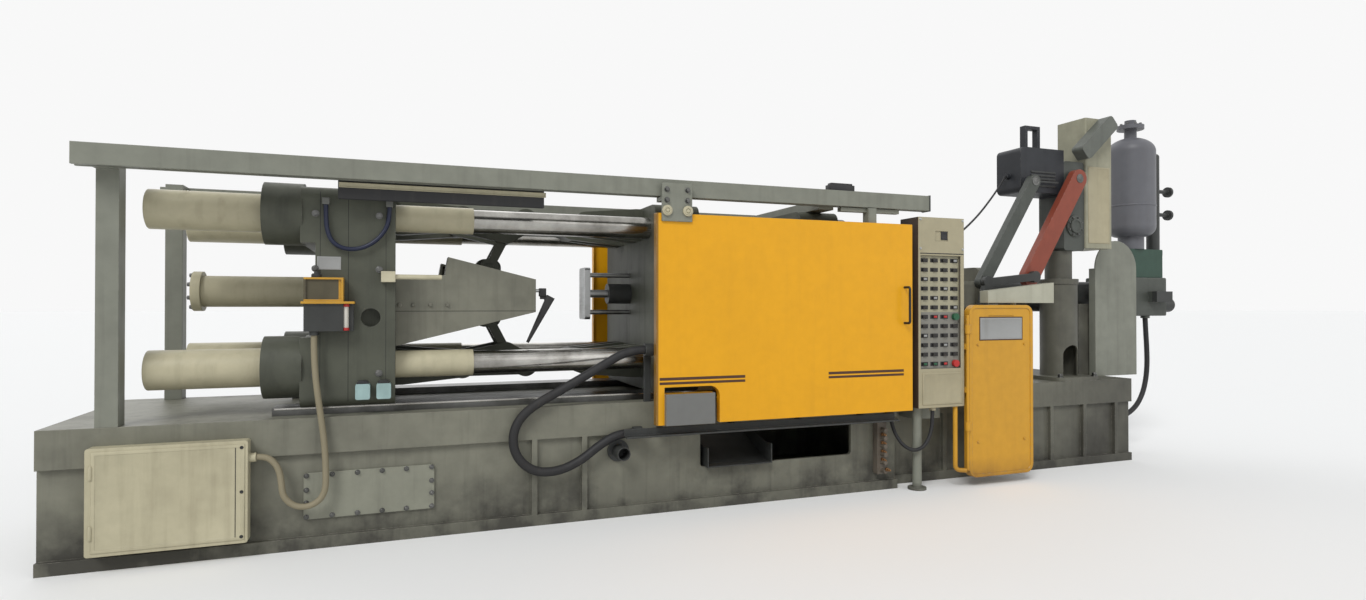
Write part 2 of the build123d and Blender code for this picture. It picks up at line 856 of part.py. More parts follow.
# Hollow section of a welded bed: flange at the floor, recessed wall, proud band along the top edge
def bed_section(half_width, top_z):
    recess = half_width - bed_recess
    band_z = top_z - bed_band_height
    right = [(half_width, 0), (half_width, bed_flange_height), (recess, bed_flange_height), (recess, band_z),
             (half_width, band_z), (half_width, top_z)]
    left = [(-y, z) for y, z in reversed(right)]
    height = top_z - 2 * bed_plate
    hollow = Pos(0, bed_plate + height / 2) * Rectangle(2 * (recess - bed_plate), height)
    return outline_of(right + left) - hollow, outline_of(right + left)


def bed_length(x0, x1, half_width, top_z):
    section, full = bed_section(half_width, top_z)
    return fused([plate_yz(section, x0, x1), plate_yz(full, x0, x0 + bed_plate), plate_yz(full, x1 - bed_plate, x1)])


def bed_rib(x, half_width, top_z):
    wall_y = half_width - bed_recess
    return block(x - bed_rib_width / 2, x + bed_rib_width / 2, -half_width, -wall_y, bed_flange_height,
                 top_z - bed_band_height)


def base_frame():
    main = bed_length(-bed_left_reach, bed_right_reach, bed_half_width, bed_top_z)
    shot = bed_length(bed_right_reach, shot_bed_right_x, shot_bed_half_width, shot_bed_top_z)
    ribs = [bed_rib(x, bed_half_width, bed_top_z) for x in bed_rib_x]
    rib_x = shot_bed_right_x - shot_bed_rib_pitch / 2
    while rib_x > bed_right_reach + shot_bed_rib_pitch:
        ribs.append(bed_rib(rib_x, shot_bed_half_width, shot_bed_top_z))
        rib_x = rib_x - shot_bed_rib_pitch
    body = fused([main, shot] + ribs)
    drop = block(-drop_length, 0, -drop_width / 2, drop_width / 2, bed_top_z - 2 * bed_plate, bed_top_z + cut_overrun)
    width = window_right_x - window_left_x
    height = window_top_z - window_bottom_z
    window = Pos(window_left_x + width / 2, window_bottom_z + height / 2) * RectangleRounded(width, height, window_corner)
    wall_y = bed_half_width - bed_recess
    return body - drop - plate_xz(window, -wall_y - cut_overrun, -wall_y + bed_plate + cut_overrun)


def base_cover_plate():
    width = cover_plate_right_x - cover_plate_left_x
    height = cover_plate_top_z - cover_plate_bottom_z
    outline = Pos(cover_plate_left_x + width / 2, cover_plate_bottom_z + height / 2) * \
        RectangleRounded(width, height, cover_plate_corner)
    wall_y = bed_half_width - bed_recess
    return plate_xz(outline, -wall_y - cover_plate_thick, -wall_y)


def bed_slideways():
    x1 = -slideway_end_gap
    half = slideway_width / 2
    rail = block(x1 - slideway_length, x1, slideway_y - half, slideway_y + half, bed_top_z, slideway_top_z)
    return both_sides(rail)


# Open sheet trough that leads castings and scrap from under the die out through the window
def scrap_chute():
    lip_y = -bed_half_width - bed_recess
    foot_y = -bed_half_width + 2 * bed_recess
    top_y = drop_width / 2
    top_z = bed_top_z - 3 * bed_plate
    floor = outline_of([(lip_y, window_bottom_z), (foot_y, window_bottom_z), (top_y, top_z - chute_sheet),
                        (top_y, top_z), (foot_y, window_bottom_z + chute_sheet), (lip_y, window_bottom_z + chute_sheet)])
    side = outline_of([(lip_y, window_bottom_z), (foot_y, window_bottom_z), (top_y, top_z - chute_sheet),
                       (top_y, top_z), (foot_y, window_bottom_z + chute_drop), (lip_y, window_bottom_z + chute_drop)])
    x0 = chute_left_x
    x1 = x0 + chute_length
    return fused([plate_yz(floor, x0, x1), plate_yz(side, x0, x0 + chute_sheet), plate_yz(side, x1 - chute_sheet, x1)])


def end_box():
    x1 = end_box_right_x
    mid_z = (end_box_bottom_z + end_box_top_z) / 2
    outline = Pos(x1 - end_box_length / 2, mid_z) * \
        RectangleRounded(end_box_length, end_box_top_z - end_box_bottom_z, end_box_corner)
    body = plate_xz(outline, -bed_half_width - end_box_depth, -bed_half_width)
    gland_y = -bed_half_width - end_box_depth / 2
    return body + rod_x(gland_dia, x1, x1 + gland_length, gland_y, end_box_top_z - 2 * gland_dia)


def water_manifold():
    wall_y = bed_half_width - bed_recess
    y0 = -wall_y - manifold_depth
    x0 = manifold_x - manifold_width / 2
    body = block(x0, x0 + manifold_width, y0, -wall_y, manifold_bottom_z, manifold_top_z - bed_rib_width)
    pitch = (manifold_top_z - manifold_bottom_z) / (port_count + 1)
    for row in range(port_count):
        z = manifold_bottom_z + pitch * (row + 1 / 2)
        body = body + rod_y(port_dia, y0 - port_length, y0, manifold_x, z)
    return body


def drain_pipe():
    wall_y = bed_half_width - bed_recess
    pipe = rod_y(drain_dia, -wall_y - drain_length, -wall_y, drain_x, drain_z)
    flange = rod_y(drain_dia + 2 * bed_plate, -wall_y - bed_plate / 2, -wall_y, drain_x, drain_z)
    hole = rod_y(drain_dia - 2 * drain_wall, -wall_y - drain_length - cut_overrun, -wall_y - bed_plate, drain_x, drain_z)
    return pipe + flange - hole


# Door track: box section with a slot below for the carriage necks, closed at its ends
def door_rail(y):
    mid_z = rail_bottom_z + rail_height / 2
    full = Pos(y, mid_z) * Rectangle(rail_width, rail_height)
    hollow = Pos(y, mid_z) * Rectangle(rail_width - 2 * rail_wall, rail_height - 2 * rail_wall)
    slot = Pos(y, rail_bottom_z) * Rectangle(rail_slot, 3 * rail_wall)
    track = plate_yz(full - hollow - slot, rail_left_x, rail_right_x)
    stop = plate_yz(full, rail_right_x - rail_stop_length, rail_right_x)
    return track + stop


def rail_brackets():
    face_y = rail_mid_y - rail_width / 2
    beam = block(beam_left_x, beam_left_x + beam_width, -face_y, face_y, platen_top_z, platen_top_z + beam_height)
    post_y = bed_half_width - post_size
    post = block(post_x, post_x + post_size, post_y, post_y + post_size, bed_top_z, rail_bottom_z + rail_height)
    arm = block(post_x, post_x + post_size, post_y, face_y, rail_bottom_z, rail_bottom_z + rail_height)
    return [beam] + both_sides(post + arm)


def bottom_rail():
    y1 = -door_inner_y + bottom_rail_gap + bottom_rail_wall
    y0 = -door_inner_y - door_thick
    angle = block(bottom_rail_left_x, bottom_rail_right_x, y0, y1, bottom_rail_z, bottom_rail_z + bottom_rail_wall)
    angle = angle + block(bottom_rail_left_x, bottom_rail_right_x, y1 - bottom_rail_wall, y1, bottom_rail_z,
                          bottom_rail_z + bottom_rail_height)
    pitch = (bottom_rail_right_x - bottom_rail_left_x) / bracket_count
    for place in range(bracket_count):
        x = bottom_rail_left_x + pitch * (place + 1 / 2)
        angle = angle + block(x - bracket_thick / 2, x + bracket_thick / 2, y1 - bottom_rail_wall, -bed_half_width,
                              bed_top_z - bed_band_height, bottom_rail_z + bottom_rail_height)
    return angle


# Folded sheet door, open on its inner side, with upright stiffeners; the front one has a notch at its foot
def door_sheet_panel(notched):
    points = [(door_left_x, door_bottom_z), (door_left_x, door_top_z), (door_right_x, door_top_z),
              (door_right_x, door_bottom_z)]
    notch_x = door_left_x + door_foot_width
    notch_z = door_bottom_z + notch_height
    if notched:
        points += [(notch_x + notch_width, door_bottom_z), (notch_x + notch_width, notch_z), (notch_x, notch_z),
                   (notch_x, door_bottom_z)]
    outline = outline_of(points)
    if notched:
        corner = outline.vertices().sort_by_distance((notch_x + notch_width, notch_z, 0))[0]
        outline = fillet(corner, notch_radius)
    outer_y = -door_inner_y - door_thick
    panel = plate_xz(outline, outer_y, -door_inner_y)
    panel = panel - plate_xz(offset(outline, -door_sheet), outer_y + door_sheet, -door_inner_y + cut_overrun)
    span = door_right_x - notch_x - notch_width
    for place in range(door_stiffeners):
        x = notch_x + notch_width + span * (place + 1) / (door_stiffeners + 1)
        panel = panel + block(x - door_stiffener_width / 2, x + door_stiffener_width / 2, outer_y, -door_inner_y,
                              door_bottom_z, door_top_z)
    return panel


def door_handle():
    x = door_right_x - handle_in_from_edge
    y1 = -door_inner_y - door_thick
    y0 = y1 - handle_rise
    z0 = handle_mid_z - handle_length / 2
    z1 = handle_mid_z + handle_length / 2
    path = FilletPolyline((x, y1, z0), (x, y0, z0), (x, y0, z1), (x, y1, z1), radius=handle_bar_dia)
    section = Plane(origin=path @ 0, z_dir=path % 0) * Circle(handle_bar_dia / 2)
    return sweep(section, path=path)


def foot_box():
    x0 = door_left_x + door_foot_width
    y1 = -door_inner_y
    z0 = door_bottom_z
    box = block(x0, x0 + foot_box_width, y1 - foot_box_depth, y1, z0, z0 + foot_box_height)
    inner = block(x0 + foot_box_wall, x0 + foot_box_width - foot_box_wall, y1 - foot_box_depth + foot_box_wall,
                  y1 - foot_box_wall, z0 + foot_box_wall, z0 + foot_box_height + cut_overrun)
    return box - inner


# Two rollers on a neck that hangs through the slot of the rail
def carriage_rollers(x_values, bottom_z):
    axle_z = rail_bottom_z + rail_wall + slide_clearance + hanger_roller_dia / 2
    pieces = []
    for x in x_values:
        pieces.append(rod_y(hanger_roller_dia, -rail_mid_y - hanger_roller_width, -rail_mid_y + hanger_roller_width,
                            x, axle_z))
        pieces.append(block(x - hanger_neck, x + hanger_neck, -rail_mid_y - hanger_neck / 2,
                            -rail_mid_y + hanger_neck / 2, bottom_z, axle_z))
    return pieces


def plain_carriage():
    x0 = carriage_left_x
    x1 = x0 + carriage_length
    top_z = rail_bottom_z - carriage_gap
    strip = block(x0, x1, -rail_mid_y - carriage_width / 2, -rail_mid_y + carriage_width / 2,
                  top_z - carriage_height, top_z)
    leg_x = (x0 + x1) / 2
    leg = block(leg_x - leg_width / 2, leg_x + leg_width / 2, -door_inner_y - door_thick / 2,
                -rail_mid_y + carriage_width / 2, door_top_z, top_z)
    rollers = carriage_rollers((x0 + leg_width, x1 - leg_width), top_z - carriage_height)
    return fused([strip, leg] + rollers)


def plate_hanger():
    x0 = hanger_left_x
    x1 = x0 + hanger_plate_length
    y1 = -door_inner_y - door_thick
    top_z = rail_bottom_z - carriage_gap
    plate = block(x0, x1, y1 - hanger_plate_thick, y1, hanger_bottom_z, rail_bottom_z + rail_height - carriage_height)
    bridge = block(x0, x1, y1, -rail_mid_y + carriage_width / 2, top_z - carriage_height, top_z)
    rollers = carriage_rollers((x0 + leg_width, x1 - leg_width), top_z - carriage_height)
    return fused([plate, bridge] + rollers)


def rear_door():
    left = plain_carriage()
    shift = door_left_x + door_right_x - 2 * carriage_left_x - carriage_length
    return mirror(fused([door_sheet_panel(False), left, Pos(shift, 0, 0) * left]), about=Plane.XZ)


def panel_case():
    x0 = panel_left_x
    x1 = x0 + panel_width
    outline = Pos((x0 + x1) / 2, -panel_front_y + panel_depth / 2) * RectangleRounded(panel_width, panel_depth, panel_corner)
    case = plate_xy(outline, panel_bottom_z, panel_top_z)
    recess = block(x0 + panel_recess_left, x1 - panel_recess_right, -panel_front_y - cut_overrun,
                   -panel_front_y + panel_recess_depth, panel_recess_bottom_z, panel_recess_top_z)
    mid_x = (x0 + x1) / 2
    display = block(mid_x - panel_window_width / 2, mid_x + panel_window_width / 2, -panel_front_y - cut_overrun,
                    -panel_front_y + panel_window_depth, panel_window_z - panel_window_height / 2,
                    panel_window_z + panel_window_height / 2)
    return case - recess - display


# Centre of a key on the board, rows counted from the top and columns from the left
def key_place(row, column):
    x0 = panel_left_x + panel_recess_left
    x1 = panel_left_x + panel_width - panel_recess_right
    x = x0 + (x1 - x0) * (column + 1 / 2) / key_columns
    z = panel_recess_top_z - (panel_recess_top_z - panel_recess_bottom_z) * (row + 1 / 2) / key_rows
    return x, z


def key_board():
    x0 = panel_left_x + panel_recess_left
    x1 = panel_left_x + panel_width - panel_recess_right
    back_y = -panel_front_y + panel_recess_depth
    face_y = back_y - key_board_thick
    board = block(x0, x1, face_y, back_y, panel_recess_bottom_z, panel_recess_top_z)
    keys = []
    for row in range(key_rows):
        for column in range(key_columns):
            x, z = key_place(row, column)
            if (row, column) in press_keys:
                hole = rod_y(estop_stem_dia + 2 * key_hole_clearance, face_y - cut_overrun, back_y, x, z)
                board = board - hole
            else:
                keys.append(block(x - key_dia / 2, x + key_dia / 2, face_y - key_height, face_y,
                                  z - key_dia / 3, z + key_dia / 3))
    return fused([board] + keys)


# Mushroom head on a stem that slides in the board
def press_button(row, column, head_dia, travel):
    x, z = key_place(row, column)
    back_y = -panel_front_y + panel_recess_depth
    face_y = back_y - key_board_thick
    head_y = face_y - travel - key_hole_clearance
    head = rod_y(head_dia, head_y - estop_height, head_y, x, z)
    stem = rod_y(estop_stem_dia, head_y, back_y - travel - key_hole_clearance, x, z)
    return head + stem


def panel_stand():
    x = panel_left_x + stand_pipe_dia
    y = -panel_front_y + panel_depth / 2
    pipe = rod_z(stand_pipe_dia, 0, panel_bottom_z, x, y)
    foot = rod_z(2 * stand_pipe_dia, 0, stand_pipe_dia / 4, x, y)
    arm = block(x - stand_pipe_dia / 4, x + panel_width / 2, y, -shot_bed_half_width,
                shot_bed_top_z - bed_band_height, shot_bed_top_z - bed_band_height + stand_arm_height)
    return fused([pipe, foot, arm])


def guard_panel():
    height = guard_top_z - guard_bottom_z
    mid_x = guard_left_x + guard_width / 2
    mid_z = guard_bottom_z + height / 2
    outline = Pos(mid_x, mid_z) * RectangleRounded(guard_width, height, guard_corner)
    inner = Pos(mid_x, mid_z) * RectangleRounded(guard_width - 2 * guard_rim, height - 2 * guard_rim,
                                                 guard_corner - guard_rim)
    hollow = Pos(mid_x, mid_z) * RectangleRounded(guard_width - 2 * guard_sheet, height - 2 * guard_sheet,
                                                  guard_corner - guard_sheet)
    face_y = -guard_outer_y
    panel = plate_xz(outline, face_y, face_y + guard_thick)
    panel = panel - plate_xz(hollow, face_y + 2 * guard_sheet, face_y + guard_thick + cut_overrun)
    panel = panel + plate_xz(outline - inner, face_y - guard_rim_rise, face_y)
    label = Pos(mid_x, guard_plate_z) * Rectangle(guard_plate_width, guard_plate_height)
    panel = panel - plate_xz(label, face_y - cut_overrun, face_y + guard_plate_depth)
    for share in guard_eye_shares:
        z0 = guard_bottom_z + share * height - guard_eye_height / 2
        z1 = z0 + guard_eye_height
        eye = rod_z(guard_eye_dia, z0, z1, guard_post_x, guard_post_y)
        strap = block(guard_post_x, guard_post_x + guard_strap, guard_post_y, guard_post_y + guard_strap_thick, z0, z1)
        panel = panel + eye + strap
        panel = panel - rod_z(loose(guard_post_dia), z0 - cut_overrun, z1 + cut_overrun, guard_post_x, guard_post_y)
    return panel


# Slim post that the guard turns on, with the bent tube and two brackets that hold it to the panel case
def guard_post():
    z0 = guard_post_bottom_z
    post = rod_z(guard_post_dia, z0, guard_post_top_z, guard_post_x, guard_post_y)
    tube_end_x = guard_post_x - guard_post_dia / 2
    path = FilletPolyline((tube_end_x, guard_post_y, z0), (guard_tube_x, guard_tube_y, z0),
                          (guard_tube_x, guard_tube_y, panel_bottom_z), radius=guard_tube_dia)
    section = Plane(origin=path @ 0, z_dir=path % 0) * Circle(guard_tube_dia / 2)
    tube = sweep(section, path=path)
    pieces = [post, tube]
    for share in post_bracket_shares:
        z = guard_post_top_z * share
        pieces.append(block(panel_left_x + panel_width, guard_post_x, guard_post_y, guard_tube_y,
                            z, z + post_bracket_height))
    return fused(pieces)


def shot_sleeve():
    x1 = shot_sleeve_length
    body = rod_x(shot_sleeve_dia, locating_ring_depth, x1, 0, clamp_axis_z)
    body = body + rod_x(shot_flange_dia, fixed_platen_thick, fixed_platen_thick + shot_flange_thick, 0, clamp_axis_z)
    mouth = SlotOverall(pour_hole_length, pour_hole_width)
    mouth = Pos(pour_hole_x, 0) * mouth
    body = body - rod_x(loose(shot_bore_dia), -cut_overrun, x1 + cut_overrun, 0, clamp_axis_z)
    return body - plate_xy(mouth, clamp_axis_z, clamp_axis_z + shot_sleeve_dia)


# Plunger tip, rod, coupling and the ram of the shot cylinder on one axis
def plunger():
    tip_end = plunger_tip_x + plunger_tip_length
    rod_end = tip_end + plunger_rod_length
    coupling_end = rod_end + plunger_coupling_length
    ram_end = coupling_end + ram_length
    lengths = [(shot_bore_dia, plunger_tip_x, tip_end), (plunger_rod_dia, tip_end, rod_end),
               (plunger_coupling_dia, rod_end, coupling_end), (ram_dia, coupling_end, ram_end),
               (shot_cylinder_bore - 2 * running_clearance, ram_end - ram_piston_length, ram_end)]
    return fused([rod_x(dia, x0, x1, 0, clamp_axis_z) for dia, x0, x1 in lengths])


# Two beams from the fixed platen to the yoke that carries the shot cylinder
def injection_frame():
    section = RectangleRounded(inject_beam_width, inject_beam_height, inject_beam_corner)
    beam = plate_yz(Pos(inject_beam_y, clamp_axis_z) * section, fixed_platen_thick, yoke_x)
    plate = Pos(0, clamp_axis_z) * RectangleRounded(yoke_width, yoke_height, platen_corner_radius)
    yoke = plate_yz(plate, yoke_x, yoke_x + yoke_thick)
    way = rod_x(loose(ram_dia), yoke_x - cut_overrun, yoke_x + yoke_thick + cut_overrun, 0, clamp_axis_z)
    return fused(both_sides(beam) + [yoke]) - way


def shot_cylinder():
    x0 = yoke_x + yoke_thick
    x1 = x0 + shot_cylinder_length
    body = rod_x(shot_cylinder_dia, x0, x1, 0, clamp_axis_z)
    body = body + rod_x(shot_collar_dia, x0, x0 + shot_collar_thick, 0, clamp_axis_z)
    body = body + rod_x(shot_collar_dia, x1 - shot_collar_thick, x1, 0, clamp_axis_z)
    way = rod_x(loose(ram_dia), x0 - cut_overrun, x0 + 2 * shot_collar_thick, 0, clamp_axis_z)
    return body - way - rod_x(shot_cylinder_bore, x0 + shot_collar_thick, x1 - shot_collar_thick, 0, clamp_axis_z)


def cylinder_pedestals():
    saddle_z = clamp_axis_z - shot_cylinder_dia / 4
    pedestals = []
    for x in pedestal_x:
        foot = block(x, x + pedestal_length, -pedestal_width / 2, pedestal_width / 2, shot_bed_top_z, saddle_z)
        pedestals.append(foot - rod_x(loose(shot_cylinder_dia), x - cut_overrun, x + pedestal_length + cut_overrun,
                                      0, clamp_axis_z))
    return pedestals


# Valve block on the end of the shot cylinder, with its pump motor and side valves
def rear_block():
    x0 = yoke_x + yoke_thick + shot_cylinder_length
    x1 = x0 + rear_block_length
    section = Pos(0, clamp_axis_z) * RectangleRounded(rear_block_width, rear_block_height, rear_block_corner)
    body = plate_yz(section, x0, x1)
    motor_z = clamp_axis_z - rear_motor_drop
    motor = rod_x(rear_motor_dia, x1, x1 + rear_motor_length, 0, motor_z)
    motor = fillet(motor.faces().sort_by(Axis.X)[-1].edges(), rear_motor_flange)
    flange = rod_x(rear_motor_flange_dia, x1, x1 + rear_motor_flange, 0, motor_z)
    valve_x = x1 - side_valve_length - rear_motor_flange
    valve = block(valve_x, valve_x + side_valve_length, -rear_block_width / 2 - side_valve_width, -rear_block_width / 2,
                  clamp_axis_z - side_valve_height / 2, clamp_axis_z + side_valve_height / 2)
    return fused([body, motor, flange, valve])


def accumulator_block():
    x1 = yoke_x + yoke_thick + shot_cylinder_length + rear_block_length
    half = green_block_width / 2
    z0 = clamp_axis_z + rear_block_height / 2
    body = block(x1 - green_block_length, x1, -half, half, z0, green_block_top_z)
    body = fillet(body.edges().filter_by(Axis.Z), rear_block_corner)
    seat = block(x1, slim_x + slim_dia / 2, slim_y - slim_dia / 2, slim_y + slim_dia / 2,
                 slim_bottom_z - slim_seat, slim_bottom_z)
    return body + seat


# Nitrogen bottle: a turned shell with a domed shoulder, a neck, a flanged cap and a foot
def nitrogen_bottle():
    radius = bottle_dia / 2
    neck = bottle_neck_dia / 2
    foot = bottle_foot_dia / 2
    cap = bottle_cap_dia / 2
    knob = bottle_knob_dia / 2
    dome = EllipticalCenterArc((0, bottle_shoulder_z), radius, bottle_top_z - bottle_shoulder_z, start_angle=0,
                               arc_size=quarter_turn)
    heel_z = bottle_bottom_z + (radius - foot)
    outline = Line((0, green_block_top_z), (foot, green_block_top_z))
    outline += Line((foot, green_block_top_z), (foot, bottle_bottom_z))
    outline += RadiusArc((foot, bottle_bottom_z), (radius, heel_z), -(radius - foot))
    outline += Line((radius, heel_z), (radius, bottle_shoulder_z))
    outline += dome
    outline += Line((0, bottle_top_z), (0, green_block_top_z))
    shell = Pos(bottle_x, bottle_y, 0) * revolve(Plane.XZ * make_face(outline), Axis.Z)
    stem = rod_z(bottle_neck_dia, bottle_top_z - neck, bottle_cap_z, bottle_x, bottle_y)
    flange = rod_z(bottle_cap_dia, bottle_cap_z, bottle_cap_z + bottle_cap_thick, bottle_x, bottle_y)
    top = rod_z(bottle_knob_dia, bottle_cap_z + bottle_cap_thick, bottle_knob_z, bottle_x, bottle_y)
    return fused([shell, stem, flange, top])


def slim_accumulator():
    body = rod_z(slim_dia, slim_bottom_z, slim_top_z, slim_x, slim_y)
    body = fillet(body.faces().sort_by(Axis.Z)[-1].edges(), slim_dia / 4)
    for share in valve_tree_shares:
        z = slim_bottom_z + share * (slim_top_z - slim_bottom_z)
        x1 = slim_x + slim_dia / 2 + valve_tree_reach
        body = body + rod_x(valve_tree_dia, slim_x, x1, slim_y, z)
        body = body + rod_x(valve_wheel_dia, x1 - valve_wheel_thick, x1, slim_y, z)
    return body


def guard_screen():
    x1 = screen_left_x + screen_width
    points = [(screen_left_x, screen_bottom_z), (screen_left_x, screen_top_z), (x1, screen_top_z), (x1, screen_bottom_z)]
    outline = outline_of(points)
    outline = fillet(outline.vertices().group_by(Axis.Y)[-1], screen_round)
    sheet = plate_xz(outline, screen_y, screen_y + screen_thick)
    flange = block(screen_left_x, screen_left_x + screen_thick, screen_y, screen_y + screen_flange, screen_bottom_z,
                   screen_top_z - screen_round)
    return sheet + flange


def ladler_column():
    foot_z = shot_bed_top_z + column_foot_thick
    foot = Pos(column_x, column_y) * RectangleRounded(column_foot, column_foot, platen_corner_radius)
    column = rod_z(column_dia, shot_bed_top_z, column_top_z, column_x, column_y)
    neck = rod_z(column_neck_dia, shot_bed_top_z, column_neck_top_z, column_x, column_y)
    collar = rod_z(column_collar_dia, column_top_z - column_collar_thick, column_top_z, column_x, column_y)
    body = fused([plate_xy(foot, shot_bed_top_z, foot_z), column, neck, collar])
    hollow = rod_z(column_dia - 2 * column_wall, foot_z, foot_z + 2 * arch_height, column_x, column_y)
    spring_z = foot_z + arch_height - arch_width / 2
    arch = Pos(column_x, foot_z + (spring_z - foot_z) / 2) * Rectangle(arch_width, spring_z - foot_z)
    arch = arch + Pos(column_x, spring_z) * Circle(arch_width / 2)
    return body - hollow - plate_xz(arch, column_y - column_dia, column_y)


def pivot_pin(x, z):
    front_y = column_y - head_half_width
    boss = rod_y(arm_boss_dia, arm_back_y + link_gap, front_y, x, z)
    return boss + rod_y(arm_pin_dia, arm_back_y - arm_thick, front_y, x, z)


def ladler_head():
    y0 = column_y - head_half_width
    y1 = column_y + head_half_width
    head = block(head_left_x, head_right_x, y0, y1, column_neck_top_z, head_top_z)
    head = fillet(head.edges().filter_by(Axis.Y), head_corner)
    return head + pivot_pin(main_pivot_x, main_pivot_z)


# Drive housing beside the head, with the lifting hoop on top
def ladler_drive():
    y0 = column_y - head_half_width
    y1 = column_y + head_half_width
    drive = block(drive_left_x, head_left_x, y0, y1, drive_bottom_z, drive_top_z)
    drive = fillet(drive.edges().filter_by(Axis.Y).group_by(Axis.X)[0], drive_corner)
    mid_x = (drive_left_x + head_left_x) / 2
    hoop_z = drive_top_z + hoop_height
    hoop = block(mid_x - hoop_width / 2, mid_x + hoop_width / 2, column_y - hoop_bar, column_y + hoop_bar,
                 drive_top_z, hoop_z)
    hoop = hoop - block(mid_x - hoop_width / 2 + hoop_bar, mid_x + hoop_width / 2 - hoop_bar, y0, y1,
                        drive_top_z, hoop_z - hoop_bar)
    return drive + hoop + pivot_pin(link_pivot_x, link_pivot_z)


def ladler_tower():
    y0 = column_y - tower_half_width
    y1 = column_y + tower_half_width
    tower = block(head_right_x, tower_right_x, y0, y1, tower_bottom_z, tower_top_z)
    return fillet(tower.edges().filter_by(Axis.Z), tower_corner)


def ladler_boom():
    run = Vector(boom_right_x - boom_left_x, boom_right_z - boom_left_z)
    turn = math.degrees(math.atan2(run.Y, run.X))
    outline = Pos((boom_left_x + boom_right_x) / 2, (boom_left_z + boom_right_z) / 2) * Rot(0, 0, turn) * \
        RectangleRounded(run.length - boom_width, boom_width, boom_width / 4)
    front_y = column_y - tower_half_width
    return plate_xz(outline, front_y - boom_thick, front_y)


def arm_foot(pivot_x, pivot_z):
    lean = math.radians(arm_lean)
    return pivot_x - arm_length * math.sin(lean), pivot_z - arm_length * math.cos(lean)


# Arm with round ends, hanging from its pivot on the head
def ladler_arm(pivot_x, pivot_z, width):
    foot_x, foot_z = arm_foot(pivot_x, pivot_z)
    outline = link_outline(pivot_x, pivot_z, foot_x, foot_z, width / 2, width)
    for x, z in ((pivot_x, pivot_z), (foot_x, foot_z)):
        outline = outline - Pos(x, z) * Circle(loose(arm_pin_dia) / 2)
    return plate_xz(outline, arm_back_y - arm_thick, arm_back_y)


def ladle_pivot():
    foot_x, foot_z = arm_foot(link_pivot_x, link_pivot_z)
    return foot_x - hanger_ahead, foot_z - hanger_drop


def ladler_coupler():
    x0, z0 = arm_foot(link_pivot_x, link_pivot_z)
    x1, z1 = arm_foot(main_pivot_x, main_pivot_z)
    ladle_x, ladle_z = ladle_pivot()
    outline = link_outline(x0, z0, x1, z1, coupler_width / 2, coupler_width * 2 / 3)
    outline = outline + link_outline(x0, z0, ladle_x, ladle_z, hanger_width / 2, hanger_width * 2 / 3)
    outline = outline - Pos(ladle_x, ladle_z) * Circle(loose(ladle_pin_dia) / 2)
    y1 = arm_back_y - arm_thick - coupler_gap
    bar = plate_xz(outline, y1 - coupler_thick, y1)
    pins = [rod_y(arm_pin_dia, y1 - coupler_thick, arm_back_y, x, z) for x, z in ((x0, z0), (x1, z1))]
    return fused([bar] + pins)


# Tapered cup turned about its own axis, hung from a pin at its rim
def ladle():
    x, z = ladle_pivot()
    y1 = arm_back_y - arm_thick - coupler_gap - coupler_thick - ladle_gap
    y = y1 - ladle_dia / 2
    top_z = z + ladle_lift
    bottom_z = top_z - ladle_height
    rim = ladle_dia / 2
    foot = ladle_foot_dia / 2
    cup = outline_of([(0, bottom_z), (foot, bottom_z), (rim, top_z), (rim - ladle_wall, top_z),
                      (foot - ladle_wall, bottom_z + ladle_wall), (0, bottom_z + ladle_wall)])
    cup = Pos(x, y, 0) * revolve(Plane.XZ * cup, Axis.Z)
    ear = block(x - ladle_ear / 2, x + ladle_ear / 2, y1 - ladle_dia / 2, y1, z - ladle_ear / 2, top_z)
    ear = ear - rod_z(ladle_dia - ladle_wall, bottom_z, top_z + cut_overrun, x, y)
    pin = rod_y(ladle_pin_dia, y1 - ladle_wall, y1 + ladle_gap + coupler_thick, x, z)
    return fused([cup, ear, pin])


def pour_tray():
    side = outline_of([(tray_left_x, tray_bottom_z), (tray_right_x, tray_bottom_z), (tray_right_x, tray_right_top_z),
                       (tray_left_x, tray_left_top_z)])
    body = plate_xz(side, tray_front_y, tray_back_y)
    inner = outline_of([(tray_left_x + tray_sheet, tray_bottom_z + tray_sheet),
                        (tray_right_x - tray_sheet, tray_bottom_z + tray_sheet),
                        (tray_right_x - tray_sheet, tray_right_top_z + tray_sheet),
                        (tray_left_x + tray_sheet, tray_left_top_z + tray_sheet)])
    return body - plate_xz(inner, tray_front_y + tray_sheet, tray_back_y - tray_sheet)


def tray_post():
    path = FilletPolyline((tray_post_x, -shot_bed_half_width + bed_recess, tray_post_z),
                          (tray_post_x, tray_post_y, tray_post_z), (tray_post_x, tray_post_y, tray_bottom_z),
                          radius=tray_post_dia)
    section = Plane(origin=path @ 0, z_dir=path % 0) * Circle(tray_post_dia / 2)
    return sweep(section, path=path)


# Central lubricator on the front of the tail platen: pump body, shelf, tank frame and sight gauge
def lubricator():
    front_y = -platen_width / 2
    x0 = tail_face_x - oiler_left_from_face
    x1 = x0 + oiler_width
    y0 = front_y - oiler_body_depth
    shelf_z = oiler_bottom_z + oiler_body_height
    body = block(x0, x1, y0, front_y, oiler_bottom_z, shelf_z)
    shelf = block(x0 - oiler_shelf, x1 + oiler_shelf_overhang, y0 - oiler_shelf, front_y, shelf_z, shelf_z + oiler_shelf)
    tank_z = shelf_z + oiler_shelf
    tank = block(x0, x1, y0, front_y, tank_z, tank_z + oiler_tank_height)
    tank = tank - block(x0 + oiler_tank_wall, x1 - oiler_tank_wall, y0 - cut_overrun, y0 + oiler_tank_wall,
                        tank_z + oiler_tank_wall, tank_z + oiler_tank_height - oiler_tank_wall)
    gauge = block(x1, x1 + oiler_gauge_width, front_y - oiler_gauge_depth, front_y, oiler_bottom_z, shelf_z)
    return fused([body, shelf, tank, gauge])


